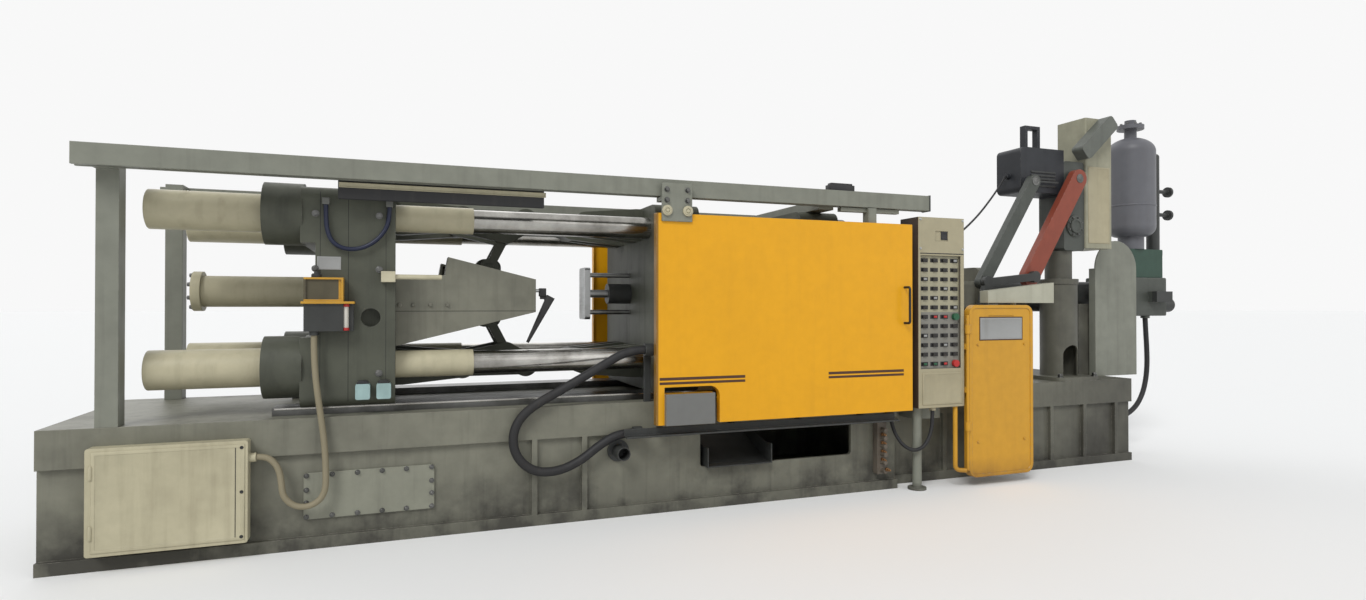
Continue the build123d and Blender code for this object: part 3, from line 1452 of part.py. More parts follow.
def limit_switch():
    front_y = -platen_width / 2
    x1 = tail_face_x
    block_z = switch_rod_z - switch_block_height / 2
    body = block(x1 - switch_block_length, x1, front_y - switch_block_depth, front_y, block_z,
                 block_z + switch_block_height)
    rod_y_place = front_y - switch_block_depth / 2
    return body + rod_x(switch_rod_dia, x1, x1 + switch_rod_length, rod_y_place, switch_rod_z)


def socket_boxes():
    front_y = -platen_width / 2
    boxes = []
    for place in range(2):
        x = tail_face_x - socket_box_from_face + place * socket_box_pitch
        outline = Pos(x + socket_box_width / 2, socket_box_z) * \
            RectangleRounded(socket_box_width, socket_box_height, socket_box_corner)
        boxes.append(plate_xz(outline, front_y - socket_box_depth, front_y))
    return boxes


# Radius at each inner point of a route: as large as the two runs beside it allow
def route_radii(route):
    points = [Vector(*point) for point in route]
    radii = []
    for before, here, after in zip(points, points[1:], points[2:]):
        turn = (here - before).get_angle(after - here)
        shorter = min((here - before).length, (after - here).length)
        radii.append(bend_share * shorter / math.tan(math.radians(turn) / 2))
    return radii


def cord_tube(name, route, dia):
    radii = route_radii(route)
    path = FilletPolyline(*route, radius=radii)
    section = Plane(origin=path @ 0, z_dir=path % 0) * Circle(dia / 2)
    tube = sweep(section, path=path)
    filled = tube.volume / (math.pi * (dia / 2) ** 2 * path.length)
    print(name, "length", round(path.length), "radii", [round(radius) for radius in radii], "fill", round(filled, 3))
    return tube


# Upright on the bed edge, behind the door, with the socket of the bed hose
def hose_upright():
    x, y, z = bed_hose_route[0]
    x0 = x + hose_socket_length - hose_socket_block
    x1 = x0 + hose_socket_block
    upright = block(x0, x1, -bed_half_width, -bed_half_width + hose_upright_thick, bed_top_z, z + hose_socket_dia / 2)
    boss = block(x0, x1, y, -bed_half_width + hose_upright_thick, z - hose_socket_dia / 2, z + hose_socket_dia / 2)
    return fused([upright, boss, rod_x(hose_socket_dia, x, x + hose_socket_length, y, z)])


def hose_union():
    x, y, z = bed_hose_route[-1]
    socket = rod_x(hose_socket_dia, x, x + hose_socket_length, y, z)
    half = hose_socket_block / 2
    return socket + block(x + hose_upright_thick, x + hose_socket_length, y, -bed_half_width, z - half, z + half)


def cable_clip():
    x, y, z = panel_cable_route[-1]
    gland = rod_z(gland_dia, z, z + gland_length, x, y)
    half = gland_dia / 2
    return gland + block(x - half, x + half, y, -bed_half_width, z + gland_length / 2, z + cable_clip_length)


def panel_glands():
    x, y, z = panel_cable_route[0]
    side_x, side_y, side_z = ladler_cable_route[0]
    below = rod_z(gland_dia, z, panel_bottom_z, x, y)
    return [below, rod_x(gland_dia, panel_left_x + panel_width, side_x, side_y, side_z)]


def rear_glands():
    x, y, z = rear_hose_route[0]
    end_x, end_y, end_z = rear_hose_route[-1]
    upper = rod_z(hose_socket_dia, z, clamp_axis_z - rear_block_height / 2, x, y)
    return upper, rod_x(hose_socket_dia, shot_bed_right_x, end_x, end_y, end_z)


def tail_sockets():
    front_y = -platen_width / 2
    sockets = []
    for x, y, z in (tail_hose_route[0], tail_hose_route[-1]):
        half = tail_hose_socket / 2
        sockets.append(block(x - half, x + half, y - half, front_y, z, z + tail_hose_socket))
    x, y, z = tail_cable_route[0]
    return sockets + [rod_z(gland_dia, z + seat_clearance, oiler_bottom_z, x, y)]


def drive_gland():
    x, y, z = ladler_cable_route[-1]
    return rod_x(gland_dia, x, drive_left_x, y, z)


def write(name, shape):
    solids = shape if isinstance(shape, list) else [shape]
    export_step(Compound(children=[solid for piece in solids for solid in piece.solids()]), f"parts/{name}.step")


os.makedirs("parts", exist_ok=True)

upper_rear_link = rear_link()
upper_front_link = front_link()
upper_cross_link = cross_link()
tail_fittings = [lubricator(), limit_switch()] + socket_boxes() + tail_sockets()
ladler_body = [ladler_head(), ladler_drive() + drive_gland(), ladler_tower(), ladler_boom()]
block_gland, bed_gland = rear_glands()

nodes = {
    "base_frame": base_frame() + bed_gland,
    "base_cover_plate": base_cover_plate(),
    "bed_slideways": bed_slideways(),
    "scrap_chute": scrap_chute(),
    "end_box": end_box(),
    "water_fittings": [water_manifold(), drain_pipe(), hose_upright(), hose_union(), cable_clip()],
    "fixed_platen": fixed_platen(),
    "tie_bars": [tie_bar(y, z) for y, z in tie_corners],
    "tie_bar_nuts": tie_bar_nuts(),
    "door_rails": [door_rail(-rail_mid_y), door_rail(rail_mid_y)],
    "rail_brackets": rail_brackets(),
    "bottom_door_rail": bottom_rail(),
    "panel_case": fused([panel_case()] + panel_glands()),
    "key_board": key_board(),
    "panel_stand": panel_stand(),
    "guard_post": guard_post(),
    "shot_sleeve": shot_sleeve(),
    "injection_frame": [injection_frame()] + cylinder_pedestals(),
    "shot_cylinder": shot_cylinder(),
    "rear_block": rear_block() + block_gland,
    "accumulator_block": accumulator_block(),
    "nitrogen_bottle": nitrogen_bottle(),
    "slim_accumulator": slim_accumulator(),
    "guard_screen": guard_screen(),
    "ladler_column": ladler_column(),
    "ladler_head": ladler_body,
    "pour_tray": [pour_tray(), tray_post()],
    "tail_platen": [tail_platen()] + toggle_pins(rear_pin_x),
    "closing_cylinder": closing_cylinder(),
    "tie_bar_covers": thread_covers() + tie_bar_sleeves(),
    "crosshead_guides": crosshead_guides(),
    "tail_fittings": tail_fittings,
    "crosshead": [crosshead()] + crosshead_pins(),
    "closing_rod": closing_rod(),
    "upper_rear_link": upper_rear_link,
    "lower_rear_link": [lower_of(piece) for piece in upper_rear_link],
    "upper_front_link": upper_front_link,
    "lower_front_link": [lower_of(half) for half in upper_front_link],
    "upper_cross_link": upper_cross_link,
    "lower_cross_link": [lower_of(half) for half in upper_cross_link],
    "moving_platen": [moving_platen()] + toggle_pins(front_pin_x),
    "ejector_cylinder": ejector_cylinder(),
    "ejector_plate": ejector_plate(),
    "front_door": [door_sheet_panel(True), door_handle(), foot_box()],
    "door_hangers": [plate_hanger(), plain_carriage()],
    "rear_door": rear_door(),
    "plunger": plunger(),
    "guard_panel": guard_panel(),
    "main_arm": ladler_arm(main_pivot_x, main_pivot_z, main_arm_width),
    "link_arm": ladler_arm(link_pivot_x, link_pivot_z, link_arm_width),
    "ladler_coupler": ladler_coupler(),
    "ladle": ladle(),
    "bed_hose": cord_tube("bed_hose", bed_hose_route, bed_hose_dia),
    "tail_cable": cord_tube("tail_cable", tail_cable_route, tail_cable_dia),
    "tail_hose": cord_tube("tail_hose", tail_hose_route, tail_hose_dia),
    "panel_cable": cord_tube("panel_cable", panel_cable_route, panel_cable_dia),
    "rear_hose": cord_tube("rear_hose", rear_hose_route, rear_hose_dia),
    "ladler_cable": cord_tube("ladler_cable", ladler_cable_route, ladler_cable_dia),
}
for (row, column), name in press_keys.items():
    nodes[name] = press_button(row, column, estop_dia, estop_travel)

for name, shape in nodes.items():
    write(name, shape)
print(len(nodes), "nodes")
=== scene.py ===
import math
import bpy
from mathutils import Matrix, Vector


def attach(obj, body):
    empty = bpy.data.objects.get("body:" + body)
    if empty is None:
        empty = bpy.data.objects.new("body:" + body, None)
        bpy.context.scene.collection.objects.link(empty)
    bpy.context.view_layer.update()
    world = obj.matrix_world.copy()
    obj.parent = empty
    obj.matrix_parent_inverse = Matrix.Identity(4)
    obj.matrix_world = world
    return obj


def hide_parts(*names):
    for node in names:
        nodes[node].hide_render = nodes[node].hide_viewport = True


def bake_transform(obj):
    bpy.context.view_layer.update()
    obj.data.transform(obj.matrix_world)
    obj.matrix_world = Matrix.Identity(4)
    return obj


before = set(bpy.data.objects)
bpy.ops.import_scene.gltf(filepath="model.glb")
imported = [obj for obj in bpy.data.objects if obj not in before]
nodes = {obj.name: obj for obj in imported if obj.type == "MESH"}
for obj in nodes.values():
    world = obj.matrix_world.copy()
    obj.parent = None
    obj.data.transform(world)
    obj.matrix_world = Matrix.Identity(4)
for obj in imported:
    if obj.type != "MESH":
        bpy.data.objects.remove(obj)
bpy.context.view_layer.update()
scene = bpy.context.scene
print("frame loaded", len(nodes), "nodes")


# view and light: the photograph was taken from the operator's side, near the tail end
cameraSet = dict(place=(-2.420, -4.754, 1.210), lens=19.77, sensor=36.0, turn=-20.97, tilt=90.458,
                 far=600.0)
lightSet = dict(
    key=dict(place=(-4.2, -5.0, 6.6), aim=(0, 0, 0.6), spread=24.0, power=1.80),
    fill=dict(place=(5.5, -5.4, 4.2), aim=(1.5, 0, 1.2), spread=50.0, power=0.40),
    back=dict(place=(-1.0, 5.0, 4.6), aim=(0, 0, 1.0), spread=50.0, power=0.50))
worldSet = dict(light=(0.95, 0.97, 1.0), strength=0.50, seen=(0.94, 0.94, 0.94))
floorSet = dict(size=400.0, color=(0.88, 0.88, 0.87), rough=0.85)


def aimAt(thing, target):
    thing.rotation_euler = (Vector(target) - thing.location).to_track_quat("-Z", "Y").to_euler()


def makeStudio():
    cam = bpy.data.cameras.new("viewCamera")
    cam.lens = cameraSet["lens"]
    cam.sensor_width = cameraSet["sensor"]
    cam.clip_end = cameraSet["far"]
    camObj = bpy.data.objects.new("viewCamera", cam)
    scene.collection.objects.link(camObj)
    camObj.location = cameraSet["place"]
    camObj.rotation_euler = (math.radians(cameraSet["tilt"]), 0, math.radians(cameraSet["turn"]))
    scene.camera = camObj
    for name, spec in lightSet.items():
        lamp = bpy.data.lights.new(name + "Lamp", "SUN")
        lamp.energy = spec["power"]
        lamp.angle = math.radians(spec["spread"])
        lampObj = bpy.data.objects.new(name + "Lamp", lamp)
        scene.collection.objects.link(lampObj)
        lampObj.location = spec["place"]
        aimAt(lampObj, spec["aim"])
    world = bpy.data.worlds.new("studioWorld")
    world.use_nodes = True
    scene.world = world
    tree = world.node_tree
    tree.nodes.clear()
    out = tree.nodes.new("ShaderNodeOutputWorld")
    mix = tree.nodes.new("ShaderNodeMixShader")
    path = tree.nodes.new("ShaderNodeLightPath")
    lit = tree.nodes.new("ShaderNodeBackground")
    seen = tree.nodes.new("ShaderNodeBackground")
    lit.inputs["Color"].default_value = (*worldSet["light"], 1)
    lit.inputs["Strength"].default_value = worldSet["strength"]
    seen.inputs["Color"].default_value = (*worldSet["seen"], 1)
    rays = path.outputs["Is Camera Ray"]
    for label in ("Is Glossy Ray", "Is Transmission Ray"):
        either = tree.nodes.new("ShaderNodeMath")
        either.operation = "MAXIMUM"
        tree.links.new(rays, either.inputs[0])
        tree.links.new(path.outputs[label], either.inputs[1])
        rays = either.outputs[0]
    tree.links.new(rays, mix.inputs[0])
    tree.links.new(lit.outputs[0], mix.inputs[1])
    tree.links.new(seen.outputs[0], mix.inputs[2])
    tree.links.new(mix.outputs[0], out.inputs["Surface"])
    bpy.ops.object.select_all(action="DESELECT")
    bpy.ops.mesh.primitive_plane_add(size=floorSet["size"], location=(0, 0, 0))
    floor = bpy.context.object
    floor.name = "studioFloor"
    paint = bpy.data.materials.new("floorPaint")
    paint.use_nodes = True
    shader = paint.node_tree.nodes["Principled BSDF"]
    shader.inputs["Base Color"].default_value = (*floorSet["color"], 1)
    shader.inputs["Roughness"].default_value = floorSet["rough"]
    floor.data.materials.append(paint)
    scene.view_settings.view_transform = "Standard"


makeStudio()
print("studio set up")


# shared shader groups: noises, the value ranges cut from them, and how strongly each is mixed in
noiseSet = dict(
    chips=dict(scale=38.0, detail=6.0, rough=0.7),
    blotch=dict(scale=2.6, detail=7.0, rough=0.62),
    runs=dict(scale=1.0, detail=5.0, rough=0.6),
    fine=dict(detail=3.0, rough=0.5),
    broad=dict(detail=4.0, rough=0.5),
    lines=dict(scale=5.0, detail=5.0, rough=0.6),
    smear=dict(scale=4.0, detail=5.0, rough=0.6),
    soil=dict(scale=1.7, detail=5.0, rough=0.55))
rangeSet = dict(edge=(0.99, 0.82), chips=(0.47, 0.62), blotch=(0.44, 0.72), streaks=(0.52, 0.74),
                along=(1.2, 2.6), soil=(0.35, 0.65, 0.45, 1.0), tone=(0.3, 0.7), smear=(0.40, 0.68),
                lines=(0.30, 0.70))
shareSet = dict(lowBase=0.55, blotch=0.5, streaks=0.45, broadScale=0.06, broadHeight=0.6, patchDirt=0.35,
                soiled=0.85, bareMetal=0.6, dusty=0.55, dustAmount=0.7, dustHeight=0.12)
runStretch = (19.0, 19.0, 1.1)
bevelSamples = 6
mixSocket = dict(factor=0, first=6, second=7, result=2)
specularSet = dict(paint=0.28, mould=0.32)
dirtRough = dict(paint=0.22, mould=0.25)
bumpSet = dict(paint=(0.16, 0.0006), metal=(0.10, 0.0004), mould=(0.14, 0.0004))
wearRadius = dict(paint=0.005, metal=0.002, mould=0.0015)


def newGroup(name, ins, outs):
    group = bpy.data.node_groups.new(name, "ShaderNodeTree")
    kinds = dict(f="NodeSocketFloat", v="NodeSocketVector")
    for label, kind in ins:
        group.interface.new_socket(label, in_out="INPUT", socket_type=kinds[kind])
    for label, kind in outs:
        group.interface.new_socket(label, in_out="OUTPUT", socket_type=kinds[kind])
    return group, group.nodes.new("NodeGroupInput"), group.nodes.new("NodeGroupOutput")


# a socket takes a number, a colour or a link
def feed(tree, socket, value):
    if isinstance(value, (int, float)):
        socket.default_value = value
    elif isinstance(value, tuple):
        socket.default_value = (*value, 1)
    else:
        tree.links.new(value, socket)


def addMath(tree, kind, a, b, clamp=False):
    node = tree.nodes.new("ShaderNodeMath")
    node.operation = kind
    node.use_clamp = clamp
    feed(tree, node.inputs[0], a)
    feed(tree, node.inputs[1], b)
    return node.outputs[0]


def addNoise(tree, vector, kind, scale=None):
    spec = noiseSet[kind]
    node = tree.nodes.new("ShaderNodeTexNoise")
    node.inputs["Detail"].default_value = spec["detail"]
    node.inputs["Roughness"].default_value = spec["rough"]
    feed(tree, node.inputs["Scale"], spec["scale"] if scale is None else scale)
    tree.links.new(vector, node.inputs["Vector"])
    return node.outputs["Fac"]


def addRange(tree, value, low, high, toLow=0.0, toHigh=1.0):
    node = tree.nodes.new("ShaderNodeMapRange")
    tree.links.new(value, node.inputs["Value"])
    labels = ("From Min", "From Max", "To Min", "To Max")
    for label, number in zip(labels, (low, high, toLow, toHigh)):
        node.inputs[label].default_value = number
    return node.outputs["Result"]


def addMix(tree, factor, a, b):
    node = tree.nodes.new("ShaderNodeMix")
    node.data_type = "RGBA"
    for label, value in (("factor", factor), ("first", a), ("second", b)):
        feed(tree, node.inputs[mixSocket[label]], value)
    return node.outputs[mixSocket["result"]]


def stretched(tree, vector, scale):
    node = tree.nodes.new("ShaderNodeMapping")
    node.inputs["Scale"].default_value = scale
    tree.links.new(vector, node.inputs["Vector"])
    return node.outputs["Vector"]


def objectCoords(tree):
    return tree.nodes.new("ShaderNodeTexCoord").outputs["Object"]


def splitAxes(tree, vector):
    node = tree.nodes.new("ShaderNodeSeparateXYZ")
    tree.links.new(vector, node.inputs[0])
    return node.outputs


# mask of the corners and rims where paint rubs off
def makeEdgeWear():
    group, gin, gout = newGroup("edgeWear", [("Radius", "f")], [("Mask", "f"), ("Normal", "v")])
    bevel = group.nodes.new("ShaderNodeBevel")
    bevel.samples = bevelSamples
    group.links.new(gin.outputs["Radius"], bevel.inputs["Radius"])
    geo = group.nodes.new("ShaderNodeNewGeometry")
    dot = group.nodes.new("ShaderNodeVectorMath")
    dot.operation = "DOT_PRODUCT"
    group.links.new(bevel.outputs["Normal"], dot.inputs[0])
    group.links.new(geo.outputs["Normal"], dot.inputs[1])
    edge = addRange(group, dot.outputs["Value"], *rangeSet["edge"])
    coords = objectCoords(group)
    broken = addRange(group, addNoise(group, coords, "chips"), *rangeSet["chips"])
    group.links.new(addMath(group, "MULTIPLY", edge, broken, True), gout.inputs["Mask"])
    group.links.new(bevel.outputs["Normal"], gout.inputs["Normal"])
    return group


# oil and dust that settle low down, run down upright faces and gather in blotches
def makeGrime():
    group, gin, gout = newGroup("oilGrime", [("Amount", "f"), ("Floor Height", "f")],
                                [("Mask", "f"), ("Streaks", "f"), ("Blotch", "f")])
    coords = objectCoords(group)
    axes = splitAxes(group, coords)
    blotch = addRange(group, addNoise(group, coords, "blotch"), *rangeSet["blotch"])
    runs = addNoise(group, stretched(group, coords, runStretch), "runs")
    streaks = addRange(group, runs, *rangeSet["streaks"])
    share = addMath(group, "DIVIDE", axes["Z"], gin.outputs["Floor Height"])
    low = addMath(group, "SUBTRACT", 1.0, share, True)
    spread = addMath(group, "MULTIPLY", low, addMath(group, "ADD", blotch, shareSet["lowBase"]), True)
    sheet = addMath(group, "ADD", addMath(group, "MULTIPLY", blotch, shareSet["blotch"]),
                    addMath(group, "MULTIPLY", streaks, shareSet["streaks"]))
    added = addMath(group, "MULTIPLY", sheet, gin.outputs["Amount"])
    total = addMath(group, "ADD", spread, added, True)
    group.links.new(total, gout.inputs["Mask"])
    group.links.new(streaks, gout.inputs["Streaks"])
    group.links.new(blotch, gout.inputs["Blotch"])
    return group


# fine skin of sprayed paint, sand casting or moulded plastic
def makeSkin():
    group, gin, gout = newGroup("fineSkin", [("Scale", "f")], [("Height", "f"), ("Tone", "f")])
    coords = objectCoords(group)
    fine = addNoise(group, coords, "fine", gin.outputs["Scale"])
    coarse = addMath(group, "MULTIPLY", gin.outputs["Scale"], shareSet["broadScale"])
    broad = addNoise(group, coords, "broad", coarse)
    lift = addMath(group, "MULTIPLY", broad, shareSet["broadHeight"])
    group.links.new(addMath(group, "ADD", fine, lift), gout.inputs["Height"])
    group.links.new(broad, gout.inputs["Tone"])
    return group


# turning marks along a machined surface
def makeToolMarks():
    group, gin, gout = newGroup("toolMarks", [("Stretch", "v")], [("Lines", "f"), ("Smear", "f")])
    coords = objectCoords(group)
    scaled = group.nodes.new("ShaderNodeVectorMath")
    scaled.operation = "MULTIPLY"
    group.links.new(coords, scaled.inputs[0])
    group.links.new(gin.outputs["Stretch"], scaled.inputs[1])
    group.links.new(addNoise(group, scaled.outputs[0], "lines"), gout.inputs["Lines"])
    group.links.new(addNoise(group, coords, "smear"), gout.inputs["Smear"])
    return group


# one inside a box of the piece, nought outside
def makeBoxMask():
    group, gin, gout = newGroup("boxMask", [("Low", "v"), ("High", "v")], [("Mask", "f")])
    coords = objectCoords(group)
    parts = [splitAxes(group, source) for source in (coords, gin.outputs["Low"], gin.outputs["High"])]
    mask = None
    for axis in range(3):
        above = addMath(group, "GREATER_THAN", parts[0][axis], parts[1][axis])
        below = addMath(group, "LESS_THAN", parts[0][axis], parts[2][axis])
        both = addMath(group, "MULTIPLY", above, below)
        mask = both if mask is None else addMath(group, "MULTIPLY", mask, both)
    group.links.new(mask, gout.inputs["Mask"])
    return group


# oil that thickens towards the injection end
def makeEndSoil():
    group, gin, gout = newGroup("endSoil", [("Amount", "f")], [("Mask", "f")])
    coords = objectCoords(group)
    axes = splitAxes(group, coords)
    along = addRange(group, axes["X"], *rangeSet["along"])
    patchy = addRange(group, addNoise(group, coords, "soil"), *rangeSet["soil"])
    thick = addMath(group, "MULTIPLY", along, patchy)
    group.links.new(addMath(group, "MULTIPLY", thick, gin.outputs["Amount"]), gout.inputs["Mask"])
    return group


edgeWear = makeEdgeWear()
oilGrime = makeGrime()
fineSkin = makeSkin()
toolMarks = makeToolMarks()
boxMask = makeBoxMask()
endSoil = makeEndSoil()
print("shader groups built")


# finishes: colours are linear, wear and grime are shares from 0 to 1
def rowsOf(columns, rows):
    return {name: dict(zip(columns, values)) for name, values in rows.items()}


paintColumns = ("color", "under", "dirt", "rough", "grime", "floor", "wear", "skin", "mottle")
paintSet = rowsOf(paintColumns, dict(
    bedGrey=((0.176, 0.174, 0.136), (0.30, 0.28, 0.24), (0.032, 0.030, 0.026), 0.46, 0.55, 0.34, 0.75, 210.0, 0.09),
    coverGrey=((0.226, 0.228, 0.180), (0.32, 0.30, 0.26), (0.050, 0.047, 0.038),
               0.46, 0.45, 0.16, 0.6, 210.0, 0.06),
    headGrey=((0.064, 0.070, 0.061), (0.26, 0.25, 0.23), (0.020, 0.020, 0.018), 0.46, 0.60, 0.05, 0.6, 180.0, 0.10),
    trayPale=((0.385, 0.380, 0.300), (0.30, 0.28, 0.24), (0.100, 0.090, 0.066), 0.44, 0.50, 0.05, 0.6, 240.0, 0.05),
    panelCream=((0.345, 0.308, 0.204), (0.20, 0.18, 0.14), (0.130, 0.106, 0.062),
                0.42, 0.35, 0.05, 0.5, 260.0, 0.04),
    castGrey=((0.074, 0.078, 0.058), (0.26, 0.25, 0.23), (0.020, 0.020, 0.018), 0.50, 0.75, 0.05, 0.6, 130.0, 0.12),
    railGrey=((0.196, 0.202, 0.166), (0.36, 0.35, 0.32), (0.050, 0.046, 0.038), 0.44, 0.45, 0.05, 0.6, 240.0, 0.06),
    cream=((0.448, 0.412, 0.284), (0.20, 0.18, 0.14), (0.115, 0.090, 0.052), 0.42, 0.45, 0.05, 0.5, 260.0, 0.05),
    doorYellow=((0.705, 0.338, 0.006), (0.33, 0.29, 0.22), (0.230, 0.105, 0.018),
                0.34, 0.14, 0.10, 0.7, 300.0, 0.025),
    guardYellow=((0.545, 0.280, 0.024), (0.30, 0.27, 0.22), (0.180, 0.090, 0.024),
                 0.38, 0.26, 0.20, 0.8, 280.0, 0.04),
    armRed=((0.222, 0.050, 0.028), (0.30, 0.28, 0.26), (0.040, 0.020, 0.016), 0.42, 0.40, 0.05, 0.7, 240.0, 0.06),
    bottleGrey=((0.118, 0.120, 0.132), (0.40, 0.39, 0.38), (0.090, 0.080, 0.078),
                0.40, 0.45, 0.05, 0.5, 240.0, 0.04),
    darkPaint=((0.040, 0.042, 0.040), (0.20, 0.19, 0.18), (0.016, 0.015, 0.013), 0.45, 0.50, 0.10, 0.6, 200.0, 0.1),
    valveGreen=((0.026, 0.060, 0.042), (0.22, 0.22, 0.20), (0.014, 0.018, 0.014),
                0.42, 0.40, 0.05, 0.5, 220.0, 0.08)))
paintSet["bedGrey"]["endSoil"] = 0.95
metalColumns = ("color", "dull", "low", "high", "stretch")
metalSet = rowsOf(metalColumns, dict(
    tieBarSteel=((0.46, 0.45, 0.42), (0.22, 0.21, 0.19), 0.14, 0.30, (1.0, 70.0, 70.0)),
    machinedSteel=((0.42, 0.43, 0.43), (0.22, 0.22, 0.21), 0.28, 0.50, (60.0, 2.0, 60.0)),
    oiledSteel=((0.15, 0.15, 0.145), (0.06, 0.06, 0.055), 0.22, 0.48, (1.0, 50.0, 50.0)),
    agedBrass=((0.36, 0.20, 0.095), (0.16, 0.085, 0.045), 0.32, 0.55, (40.0, 40.0, 8.0))))
mouldColumns = ("color", "dust", "rough", "skin")
mouldSet = rowsOf(mouldColumns, dict(
    blackPlastic=((0.020, 0.020, 0.021), (0.070, 0.066, 0.060), 0.42, 420.0),
    hoseRubber=((0.016, 0.016, 0.017), (0.060, 0.056, 0.050), 0.55, 320.0),
    cableBeige=((0.235, 0.205, 0.135), (0.110, 0.095, 0.062), 0.58, 340.0),
    hoseBlue=((0.010, 0.014, 0.036), (0.036, 0.040, 0.052), 0.36, 360.0),
    buttonRed=((0.430, 0.022, 0.020), (0.210, 0.050, 0.042), 0.28, 420.0),
    buttonGreen=((0.016, 0.090, 0.040), (0.050, 0.090, 0.060), 0.30, 420.0),
    stripeBrown=((0.060, 0.026, 0.014), (0.150, 0.080, 0.030), 0.50, 300.0),
    sightWhite=((0.600, 0.580, 0.520), (0.330, 0.300, 0.240), 0.30, 380.0),
    plateGrey=((0.290, 0.295, 0.290), (0.150, 0.142, 0.125), 0.42, 300.0)))


def groupNode(tree, group, **values):
    node = tree.nodes.new("ShaderNodeGroup")
    node.node_tree = group
    for label, value in values.items():
        node.inputs[label].default_value = value
    return node


def startMaterial(name):
    paint = bpy.data.materials.new(name)
    paint.use_nodes = True
    tree = paint.node_tree
    return paint, tree, tree.nodes["Principled BSDF"]


def addBump(tree, shader, height, strength, distance, normal):
    bump = tree.nodes.new("ShaderNodeBump")
    bump.inputs["Strength"].default_value = strength
    bump.inputs["Distance"].default_value = distance
    tree.links.new(height, bump.inputs["Height"])
    tree.links.new(normal, bump.inputs["Normal"])
    tree.links.new(bump.outputs["Normal"], shader.inputs["Normal"])


# patches are (low corner, high corner, colour) in metres, for pieces that share one node
def paintMaterial(name, spec, patches=()):
    paint, tree, shader = startMaterial(name)
    wear = groupNode(tree, edgeWear, Radius=wearRadius["paint"])
    grime = groupNode(tree, oilGrime, Amount=spec["grime"], **{"Floor Height": spec["floor"]})
    skin = groupNode(tree, fineSkin, Scale=spec["skin"])
    base = spec["color"]
    dirt = spec["dirt"]
    for low, high, color in patches:
        mask = groupNode(tree, boxMask, Low=low, High=high)
        base = addMix(tree, mask.outputs["Mask"], base, color)
        dirt = addMix(tree, mask.outputs["Mask"], dirt, tuple(shareSet["patchDirt"] * part for part in color))
    fade = tree.nodes.new("ShaderNodeHueSaturation")
    tone = addRange(tree, skin.outputs["Tone"], *rangeSet["tone"], 1.0 - spec["mottle"], 1.0 + spec["mottle"])
    tree.links.new(tone, fade.inputs["Value"])
    feed(tree, fade.inputs["Color"], base)
    covered = addMath(tree, "MULTIPLY", grime.outputs["Mask"], shareSet["soiled"])
    soiled = addMix(tree, covered, fade.outputs["Color"], dirt)
    if "endSoil" in spec:
        oily = groupNode(tree, endSoil, Amount=spec["endSoil"])
        soiled = addMix(tree, oily.outputs["Mask"], soiled, dirt)
    rubbed = addMath(tree, "MULTIPLY", wear.outputs["Mask"], spec["wear"])
    tree.links.new(addMix(tree, rubbed, soiled, spec["under"]), shader.inputs["Base Color"])
    rough = addRange(tree, grime.outputs["Mask"], 0.0, 1.0, spec["rough"], spec["rough"] + dirtRough["paint"])
    tree.links.new(rough, shader.inputs["Roughness"])
    tree.links.new(addMath(tree, "MULTIPLY", rubbed, shareSet["bareMetal"]), shader.inputs["Metallic"])
    shader.inputs["Specular IOR Level"].default_value = specularSet["paint"]
    addBump(tree, shader, skin.outputs["Height"], *bumpSet["paint"], wear.outputs["Normal"])
    return paint


def metalMaterial(name, spec):
    paint, tree, shader = startMaterial(name)
    wear = groupNode(tree, edgeWear, Radius=wearRadius["metal"])
    marks = groupNode(tree, toolMarks, Stretch=spec["stretch"])
    smear = addRange(tree, marks.outputs["Smear"], *rangeSet["smear"])
    tree.links.new(addMix(tree, smear, spec["color"], spec["dull"]), shader.inputs["Base Color"])
    lines = addRange(tree, marks.outputs["Lines"], *rangeSet["lines"], spec["low"], spec["high"])
    tree.links.new(lines, shader.inputs["Roughness"])
    shader.inputs["Metallic"].default_value = 1.0
    addBump(tree, shader, marks.outputs["Lines"], *bumpSet["metal"], wear.outputs["Normal"])
    return paint


def mouldMaterial(name, spec):
    paint, tree, shader = startMaterial(name)
    wear = groupNode(tree, edgeWear, Radius=wearRadius["mould"])
    grime = groupNode(tree, oilGrime, Amount=shareSet["dustAmount"], **{"Floor Height": shareSet["dustHeight"]})
    skin = groupNode(tree, fineSkin, Scale=spec["skin"])
    dusty = addMath(tree, "MULTIPLY", grime.outputs["Mask"], shareSet["dusty"])
    tree.links.new(addMix(tree, dusty, spec["color"], spec["dust"]), shader.inputs["Base Color"])
    rough = addRange(tree, grime.outputs["Blotch"], 0.0, 1.0, spec["rough"], spec["rough"] + dirtRough["mould"])
    tree.links.new(rough, shader.inputs["Roughness"])
    shader.inputs["Specular IOR Level"].default_value = specularSet["mould"]
    addBump(tree, shader, skin.outputs["Height"], *bumpSet["mould"], wear.outputs["Normal"])
    return paint


finish = {name: paintMaterial(name, spec) for name, spec in paintSet.items()}
finish.update({name: metalMaterial(name, spec) for name, spec in metalSet.items()})
finish.update({name: mouldMaterial(name, spec) for name, spec in mouldSet.items()})
print("finishes built", len(finish))


